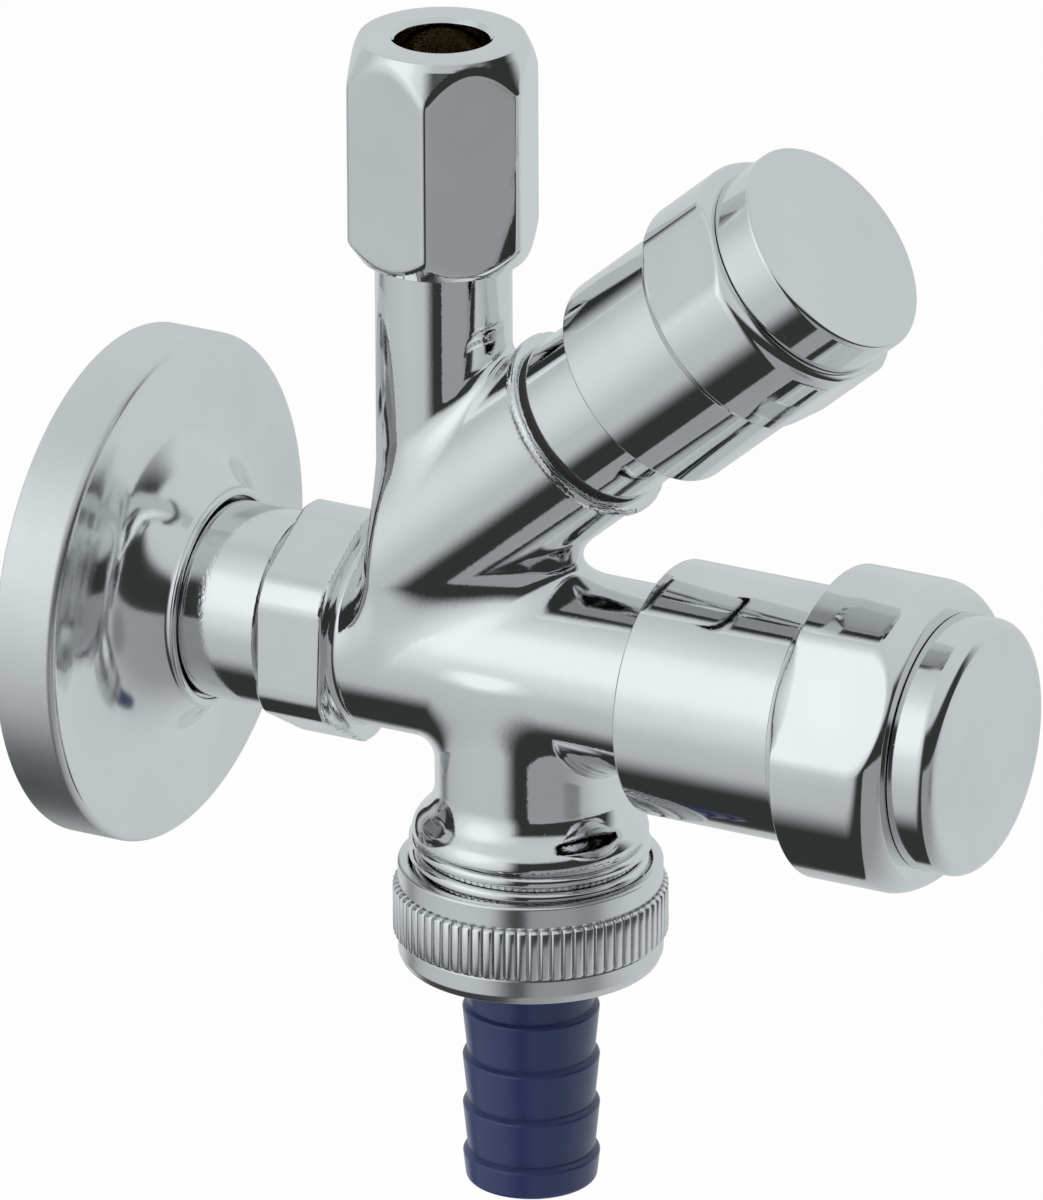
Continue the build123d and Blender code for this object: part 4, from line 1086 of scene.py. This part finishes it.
def make_nozzle():
    """Hose nozzle: flange and tube, with a stack of barbs."""
    flange_end = UNION_LIP_TOP - 0.05
    tube = turned_mesh("nozzle_tube", [
        (NOZZLE_BORE_R, NOZZLE_FLANGE_TOP, 0.2), (NOZZLE_FLANGE_R, NOZZLE_FLANGE_TOP, 0.2),
        (NOZZLE_FLANGE_R, flange_end, 0.1), (NOZZLE_COLLAR_R, flange_end, 0.1),
        (NOZZLE_COLLAR_R, UNION_BOTTOM), (NOZZLE_VALLEY_R, FIRST_BARB - 0.3, 0.3),
        (NOZZLE_VALLEY_R - 0.05, NOZZLE_END - 1.2, 0.1), (NOZZLE_BORE_R + 0.3, NOZZLE_END - 1.0, 0.1),
        (NOZZLE_BORE_R, NOZZLE_END - 1.3, 0.1)], segments=192)
    placed(tube, BOTTOM, blue_plastic(), "blue_plastic", "valve", "hose_nozzle")
    inner = NOZZLE_BORE_R + 0.6
    slope_end = BARB_PITCH - 0.4
    barb = turned_mesh("nozzle_barb", [
        (inner, -BARB_BACK, 0.05), *barb_edge(0.0), (NOZZLE_VALLEY_R + 0.02, slope_end, 0.3),
        (inner, slope_end, 0.05)], segments=144)
    shape = helper_object("nozzle_barb_shape", barb)
    barbs = grown("nozzle_barbs", stack_tree(), {
        "Shape": shape, "First": FIRST_BARB, "Pitch": BARB_PITCH,
        "Count": sizes().nozzle_barbs - 1, "Material": blue_plastic()})
    bpy.data.objects.remove(shape)
    placed(barbs, BOTTOM, blue_plastic(), "blue_plastic", "valve", "hose_nozzle")
    last = FIRST_BARB + BARB_PITCH * (sizes().nozzle_barbs - 1)
    end = turned_mesh("nozzle_end", [
        (NOZZLE_BORE_R, last - BARB_BACK, 0.05), *barb_edge(last),
        (NOZZLE_END_R + 0.05, NOZZLE_END, 0.6), (NOZZLE_BORE_R, NOZZLE_END, 0.4)], segments=192)
    placed(end, BOTTOM, blue_plastic(), "blue_plastic", "valve", "hose_nozzle")


def shoulder_corners(head):
    """Corners of a grip's rounded front shoulder, as far as the cap lets it be seen."""
    front = head.grip_end + head.shoulder
    rim = min(front, head.cap - CAP_SEAT)
    if rim == front:
        return [(head.grip_r, front, head.shoulder)], rim
    centre = head.grip_r - head.shoulder
    across = (head.shoulder ** 2 - (rim - head.grip_end) ** 2) ** 0.5
    corners = [(head.grip_r, head.grip_end, head.shoulder)]
    for k in range(1, SHOULDER_STEPS + 1):
        turn = acos(across / head.shoulder) * k / SHOULDER_STEPS
        corners.append((centre + head.shoulder * cos(turn), head.grip_end + head.shoulder * sin(turn),
                        head.shoulder if k < SHOULDER_STEPS else 0.2))
    return corners, rim


def make_handle(head):
    """Handle of one head: skirt, step, grip with three flats, front recess."""
    shoulder, rim = shoulder_corners(head)
    recess = head.web + WEB_THICKNESS
    mesh = turned_mesh(head.side + "_grip", [
        (head.skirt_bore, head.skirt, 0.15), (head.skirt_r, head.skirt, 0.35),
        (head.skirt_r, head.step, 0.15), (head.grip_r, head.grip, 0.3), *shoulder,
        (head.spigot_r, rim, 0.15), (head.spigot_r, recess), (0, recess), (0, head.web),
        (head.skirt_bore, head.web)],
        segments=324, step=GRIP_STEP,
        cuts=(GRIP_FLATS, grip_reach(head), -head.flat_angle, sizes().grip_edge))
    placed(mesh, head.place, turned_chrome(), "chrome_plate", head.side + "_turning",
           head.side + "_handle")


def make_cap(head):
    """Cap of one head: a plain flat face with a rounded edge."""
    spigot = head.spigot_r - 0.05
    inner = spigot - CAP_WALL
    foot = min(head.cap, head.grip_end + head.shoulder + CAP_SEAT)
    spigot_end = head.cap - CAP_SPIGOT
    mesh = turned_mesh(head.side + "_cap_disc", [
        (0, head.cap_end), (0, head.cap_end - CAP_FACE), (inner, head.cap_end - CAP_FACE),
        (inner, spigot_end), (spigot, spigot_end), (spigot, foot), (head.cap_r, foot, 0.12),
        (head.cap_r, head.cap_end, head.cap_round)], segments=320, step=3.0)
    placed(mesh, head.place, cap_chrome(), "satin_chrome", head.side + "_turning", head.side + "_cap")


def dress_inner_nodes():
    """Gives each CAD node that still shows the material of its slot."""
    slots = {entry["node"]: entry["material_slot"] for entry in frame["record"]["subparts"]}
    for name, node in frame["nodes"].items():
        if node.hide_render:
            continue
        material = SLOT_MATERIALS[slots[name]]()
        node.data.materials.clear()
        node.data.materials.append(material)


# Studio

CAMERA_AZIMUTH = radians(-61.86)
CAMERA_ELEVATION = radians(22.46)
CAMERA_ROLL = radians(-0.21)
CAMERA_DISTANCE = 1722.6
CAMERA_TARGET = (0.0, -52.35, 0.0)
FOCAL_PIXELS = 15955.0
PHOTO_HEIGHT = 1200
TARGET_RIGHT_PIXELS = 23.3
TARGET_DOWN_PIXELS = 61.0
SENSOR = 36.0
CLIP_START = 0.05
CLIP_END = 20.0

# Tent: a patch is its azimuth, elevation, inner and outer angle in degrees, and its grey level.
# An edge is the direction that it faces, and its fade goes between two cosines.
DOWN = (0, 0, -1)
WALL_LEVEL = 0.42
LAMPS = (
    (-122, 25, 40, 100, 0.62),
    (-122, 25, 14, 50, 0.90),
    (-122, 25, 3, 26, 1.10),
    (25, 62, 25, 75, 0.68),
)
SHADE_EDGE = (0.677, -0.727, -0.116)
SHADE_FADE = (-0.68, -0.42)
SHADE_FLOOR = (-0.56, -0.40)
SHADE_LEVEL = 0.04
RIGHT_SIDE = (108, 12, 54, 76, 0.70)
TABLE_EDGE = (0.481, -0.856, -0.188)
TABLE_FADE = (-0.012, 0.012)
HORIZON_FADE = (0.07, 0.11)
TABLE_LEVELS = (0.36, 0.68)
TABLE_SHADOW = (-10, -20, 3, 14, 0.26)
TENT_TINT = (("Red", 0.955), ("Green", 1.0), ("Blue", 1.012))

# Floor: half its side in metres, and how white the camera sees it
FLOOR_HALF = 1.6
FLOOR_WHITE = 0.96


def photo_camera():
    """Camera at the photograph's angle, aimed so that no shift is needed."""
    back = Vector((sin(CAMERA_AZIMUTH) * cos(CAMERA_ELEVATION),
                   -cos(CAMERA_AZIMUTH) * cos(CAMERA_ELEVATION), sin(CAMERA_ELEVATION)))
    level = Vector((cos(CAMERA_AZIMUTH), sin(CAMERA_AZIMUTH), 0.0))
    upright = back.cross(level)
    right = cos(CAMERA_ROLL) * level + sin(CAMERA_ROLL) * upright
    up = -sin(CAMERA_ROLL) * level + cos(CAMERA_ROLL) * upright
    place = (Vector(CAMERA_TARGET) + back * CAMERA_DISTANCE) * MM
    aim = -back * FOCAL_PIXELS - right * TARGET_RIGHT_PIXELS + up * TARGET_DOWN_PIXELS
    aim.normalize()
    side = aim.cross(up).normalized()
    over = side.cross(aim)
    data = bpy.data.cameras.new("photo_camera")
    data.sensor_fit = "AUTO"
    data.sensor_width = SENSOR
    data.lens = FOCAL_PIXELS * SENSOR / PHOTO_HEIGHT
    data.clip_start = CLIP_START
    data.clip_end = CLIP_END
    camera = bpy.data.objects.new("photo_camera", data)
    turn = Matrix((side, over, -aim)).transposed().to_4x4()
    camera.matrix_world = Matrix.Translation(place) @ turn
    bpy.context.scene.collection.objects.link(camera)
    bpy.context.scene.camera = camera


def direction(azimuth, elevation):
    """Unit direction; azimuth 0 looks away from the wall, -90 towards the camera's side."""
    a, e = radians(azimuth), radians(elevation)
    return (sin(a) * cos(e), -cos(a) * cos(e), sin(e))


def facing(tree, way, normal, low, high):
    """Nought to one as a ray turns towards a direction, between two cosines."""
    dot = add_node(tree, "ShaderNodeVectorMath", [(0, way), (1, Vector(normal).normalized())],
                   operation="DOT_PRODUCT")
    return spread_of(tree, dot.outputs["Value"], low, high, curve="SMOOTHSTEP")


def add_patch(tree, way, base, azimuth, elevation, inner, outer, level):
    """Turns a round patch of the tent to a level, full to its inner angle and gone at its outer."""
    share = facing(tree, way, direction(azimuth, elevation), cos(radians(outer)), cos(radians(inner)))
    return mix_level(tree, share, base, level)


def mix_level(tree, share, base, level):
    """Moves a grey level towards another by a share; both are sockets or numbers."""
    node = add_node(tree, "ShaderNodeMix", [("Factor", share), ("A", base), ("B", level)])
    return node.outputs["Result"]


def unless_seen(tree, lit, seen, share):
    """A shader that only the camera's rays see as another."""
    choose = add_node(tree, "ShaderNodeMixShader", [
        ("Fac", share), (1, lit.outputs[0]), (2, seen.outputs[0])])
    return choose.outputs[0]


def tent_level(tree, way):
    """Grey level of the tent where a ray goes: lamps, dark front, light right side, table."""
    level = WALL_LEVEL
    for lamp in LAMPS:
        level = add_patch(tree, way, level, *lamp)
    shade = maths(tree, "MULTIPLY", facing(tree, way, SHADE_EDGE, *SHADE_FADE),
                  facing(tree, way, DOWN, *SHADE_FLOOR))
    level = mix_level(tree, shade, level, SHADE_LEVEL)
    level = add_patch(tree, way, level, *RIGHT_SIDE)
    table = mix_level(tree, facing(tree, way, direction(70, -20), 0.1, 0.95), *TABLE_LEVELS)
    table = add_patch(tree, way, table, *TABLE_SHADOW)
    on_table = maths(tree, "MULTIPLY", facing(tree, way, TABLE_EDGE, *TABLE_FADE),
                     facing(tree, way, DOWN, *HORIZON_FADE))
    return mix_level(tree, on_table, level, table)


def light_tent():
    """World: a broad lamp on the left, a pale table, a dark front and a light right side."""
    world = bpy.data.worlds.new("light_tent")
    bpy.context.scene.world = world
    world.use_nodes = True
    tree = world.node_tree
    tree.nodes.clear()
    level = tent_level(tree, tree.nodes.new("ShaderNodeTexCoord").outputs["Generated"])
    paint = add_node(tree, "ShaderNodeCombineColor", [
        (label, maths(tree, "MULTIPLY", level, tint)) for label, tint in TENT_TINT])
    tent = add_node(tree, "ShaderNodeBackground", [("Color", paint.outputs[0])])
    white = add_node(tree, "ShaderNodeBackground", [("Color", (1, 1, 1, 1))])
    seen = tree.nodes.new("ShaderNodeLightPath").outputs["Is Camera Ray"]
    add_node(tree, "ShaderNodeOutputWorld", [("Surface", unless_seen(tree, tent, white, seen))])


def make_floor():
    """Pale floor that is nearly white to the camera and keeps a trace of the shadow."""
    height = sizes().floor_height
    mesh = bpy.data.meshes.new("studio_floor")
    mesh.from_pydata([(x, y, height) for x, y in (
        (-FLOOR_HALF, -FLOOR_HALF), (FLOOR_HALF, -FLOOR_HALF),
        (FLOOR_HALF, FLOOR_HALF), (-FLOOR_HALF, FLOOR_HALF))], [], [(0, 1, 2, 3)])
    material, shader = base_material("studio_floor", (0.9, 0.9, 0.9), 0.0, 0.8)
    tree = material.node_tree
    white = tree.nodes.new("ShaderNodeEmission")
    seen = tree.nodes.new("ShaderNodeLightPath").outputs["Is Camera Ray"]
    share = maths(tree, "MULTIPLY", seen, FLOOR_WHITE)
    tree.links.new(unless_seen(tree, shader, white, share),
                   tree.nodes["Material Output"].inputs["Surface"])
    mesh.materials.append(material)
    floor = bpy.data.objects.new("studio_floor", mesh)
    floor.visible_glossy = False
    bpy.context.scene.collection.objects.link(floor)


def make_stage():
    """Camera, tent and floor."""
    photo_camera()
    light_tent()
    bpy.context.scene.view_settings.view_transform = "Standard"
    make_floor()


# Add-on layout

class ValveSizes(bpy.types.PropertyGroup):
    """Sizes that a user would change, in millimetres apart from the floor's height, and colours."""

    chrome_colour: bpy.props.FloatVectorProperty(
        name="Chrome", description="Reflected colour of the plate", subtype="COLOR",
        default=(0.80, 0.81, 0.815), min=0, max=1)
    nozzle_colour: bpy.props.FloatVectorProperty(
        name="Nozzle", description="Colour of the hose nozzle", subtype="COLOR",
        default=(0.1, 0.115, 0.95), min=0, max=1)
    knurl_ribs: bpy.props.IntProperty(
        name="Knurl ribs", description="Ribs round the union nut", default=74, min=24, max=160)
    knurl_share: bpy.props.FloatProperty(
        name="Rib share", description="Share of the pitch that a rib takes", default=0.84,
        min=0.3, max=0.95, subtype="FACTOR")
    nozzle_barbs: bpy.props.IntProperty(
        name="Barbs", description="Barbs on the hose nozzle", default=4, min=2, max=4)
    thread_depth: bpy.props.FloatProperty(
        name="Thread depth", description="Depth of the pipe threads, in millimetres",
        default=1.0, min=0.2, max=1.2)
    crease_fillet: bpy.props.FloatProperty(
        name="Crease fillet", description="Fillet between branch and barrel, in millimetres",
        default=3.4, min=0.3, max=8)
    web_fillet: bpy.props.FloatProperty(
        name="Web fillet", description="Fillet in the crotch of the branch, in millimetres",
        default=5.0, min=1, max=8)
    tube_fillet: bpy.props.FloatProperty(
        name="Tube fillet", description="Fillet at the foot of the top tube, in millimetres",
        default=2.0, min=0.3, max=4)
    rosette_edge: bpy.props.FloatProperty(
        name="Rosette edge", description="Rounding of the rosette's rim, in millimetres",
        default=0.9, min=0.2, max=3)
    outlet_fillet: bpy.props.FloatProperty(
        name="Outlet fillet", description="Fillet over the bottom outlet, in millimetres",
        default=2.0, min=0.3, max=4)
    collar_fillet: bpy.props.FloatProperty(
        name="Collar fillet", description="Fillet at the sides of the collar, in millimetres",
        default=1.2, min=0.1, max=2)
    collar_edge: bpy.props.FloatProperty(
        name="Collar edge", description="Rounding of the collar's forged edges, in millimetres",
        default=1.4, min=0.1, max=3)
    nut_edge: bpy.props.FloatProperty(
        name="Nut edge", description="Softness of the nut's corners, in millimetres",
        default=0.35, min=0.05, max=2)
    grip_edge: bpy.props.FloatProperty(
        name="Grip edge", description="Softness of the grips' flats, in millimetres",
        default=0.38, min=0.05, max=2)
    floor_height: bpy.props.FloatProperty(
        name="Floor", description="Height of the studio floor, in metres", default=-0.3,
        unit="LENGTH")


class VALVE_OT_forging(bpy.types.Operator):
    """Build the body forging"""
    bl_idname = "valve.forging"
    bl_label = "Body forging"

    def execute(self, context):
        make_forging()
        return {"FINISHED"}


class VALVE_OT_ends(bpy.types.Operator):
    """Build the threaded ends of the body"""
    bl_idname = "valve.ends"
    bl_label = "Threaded ends"

    def execute(self, context):
        make_body_ends()
        return {"FINISHED"}


class VALVE_OT_rosette(bpy.types.Operator):
    """Build the wall rosette"""
    bl_idname = "valve.rosette"
    bl_label = "Wall rosette"

    def execute(self, context):
        make_rosette()
        return {"FINISHED"}


class VALVE_OT_compression_nut(bpy.types.Operator):
    """Build the hexagon nut of the pipe outlet"""
    bl_idname = "valve.compression_nut"
    bl_label = "Compression nut"

    def execute(self, context):
        make_compression_nut()
        return {"FINISHED"}


class VALVE_OT_union_nut(bpy.types.Operator):
    """Build the knurled union nut"""
    bl_idname = "valve.union_nut"
    bl_label = "Union nut"

    def execute(self, context):
        make_union_nut()
        return {"FINISHED"}


class VALVE_OT_nozzle(bpy.types.Operator):
    """Build the barbed hose nozzle"""
    bl_idname = "valve.nozzle"
    bl_label = "Hose nozzle"

    def execute(self, context):
        make_nozzle()
        return {"FINISHED"}


class VALVE_OT_handles(bpy.types.Operator):
    """Build both handles"""
    bl_idname = "valve.handles"
    bl_label = "Handles"

    def execute(self, context):
        for head in HEADS:
            make_handle(head)
        return {"FINISHED"}


class VALVE_OT_caps(bpy.types.Operator):
    """Build both caps"""
    bl_idname = "valve.caps"
    bl_label = "Caps"

    def execute(self, context):
        for head in HEADS:
            make_cap(head)
        return {"FINISHED"}


class VALVE_OT_inner(bpy.types.Operator):
    """Give every other piece its material"""
    bl_idname = "valve.inner"
    bl_label = "Inner pieces"

    def execute(self, context):
        dress_inner_nodes()
        return {"FINISHED"}


class VALVE_OT_stage(bpy.types.Operator):
    """Build the studio and the camera"""
    bl_idname = "valve.stage"
    bl_label = "Studio"

    def execute(self, context):
        make_stage()
        return {"FINISHED"}


OPERATORS = (
    VALVE_OT_forging, VALVE_OT_ends, VALVE_OT_rosette, VALVE_OT_compression_nut,
    VALVE_OT_union_nut, VALVE_OT_nozzle, VALVE_OT_handles, VALVE_OT_caps, VALVE_OT_inner,
    VALVE_OT_stage,
)


class VALVE_PT_panel(bpy.types.Panel):
    """Sizes and steps of the angle valve"""
    bl_idname = "VALVE_PT_panel"
    bl_label = "Angle valve"
    bl_space_type = "VIEW_3D"
    bl_region_type = "UI"
    bl_category = "Valve"

    def draw(self, context):
        group = context.scene.valve_sizes
        for name in ValveSizes.__annotations__:
            self.layout.prop(group, name)
        for operator in OPERATORS:
            self.layout.operator(operator.bl_idname)


def register():
    """Registers the classes and the sizes."""
    bpy.utils.register_class(ValveSizes)
    for operator in OPERATORS:
        bpy.utils.register_class(operator)
    bpy.utils.register_class(VALVE_PT_panel)
    bpy.types.Scene.valve_sizes = bpy.props.PointerProperty(type=ValveSizes)


def unregister():
    """Takes them away again."""
    del bpy.types.Scene.valve_sizes
    bpy.utils.unregister_class(VALVE_PT_panel)
    for operator in reversed(OPERATORS):
        bpy.utils.unregister_class(operator)
    bpy.utils.unregister_class(ValveSizes)


def main():
    """Builds every piece and the studio."""
    register()
    for operator in OPERATORS:
        group, name = operator.bl_idname.split(".")
        getattr(getattr(bpy.ops, group), name)()


if __name__ == "__main__":
    main()
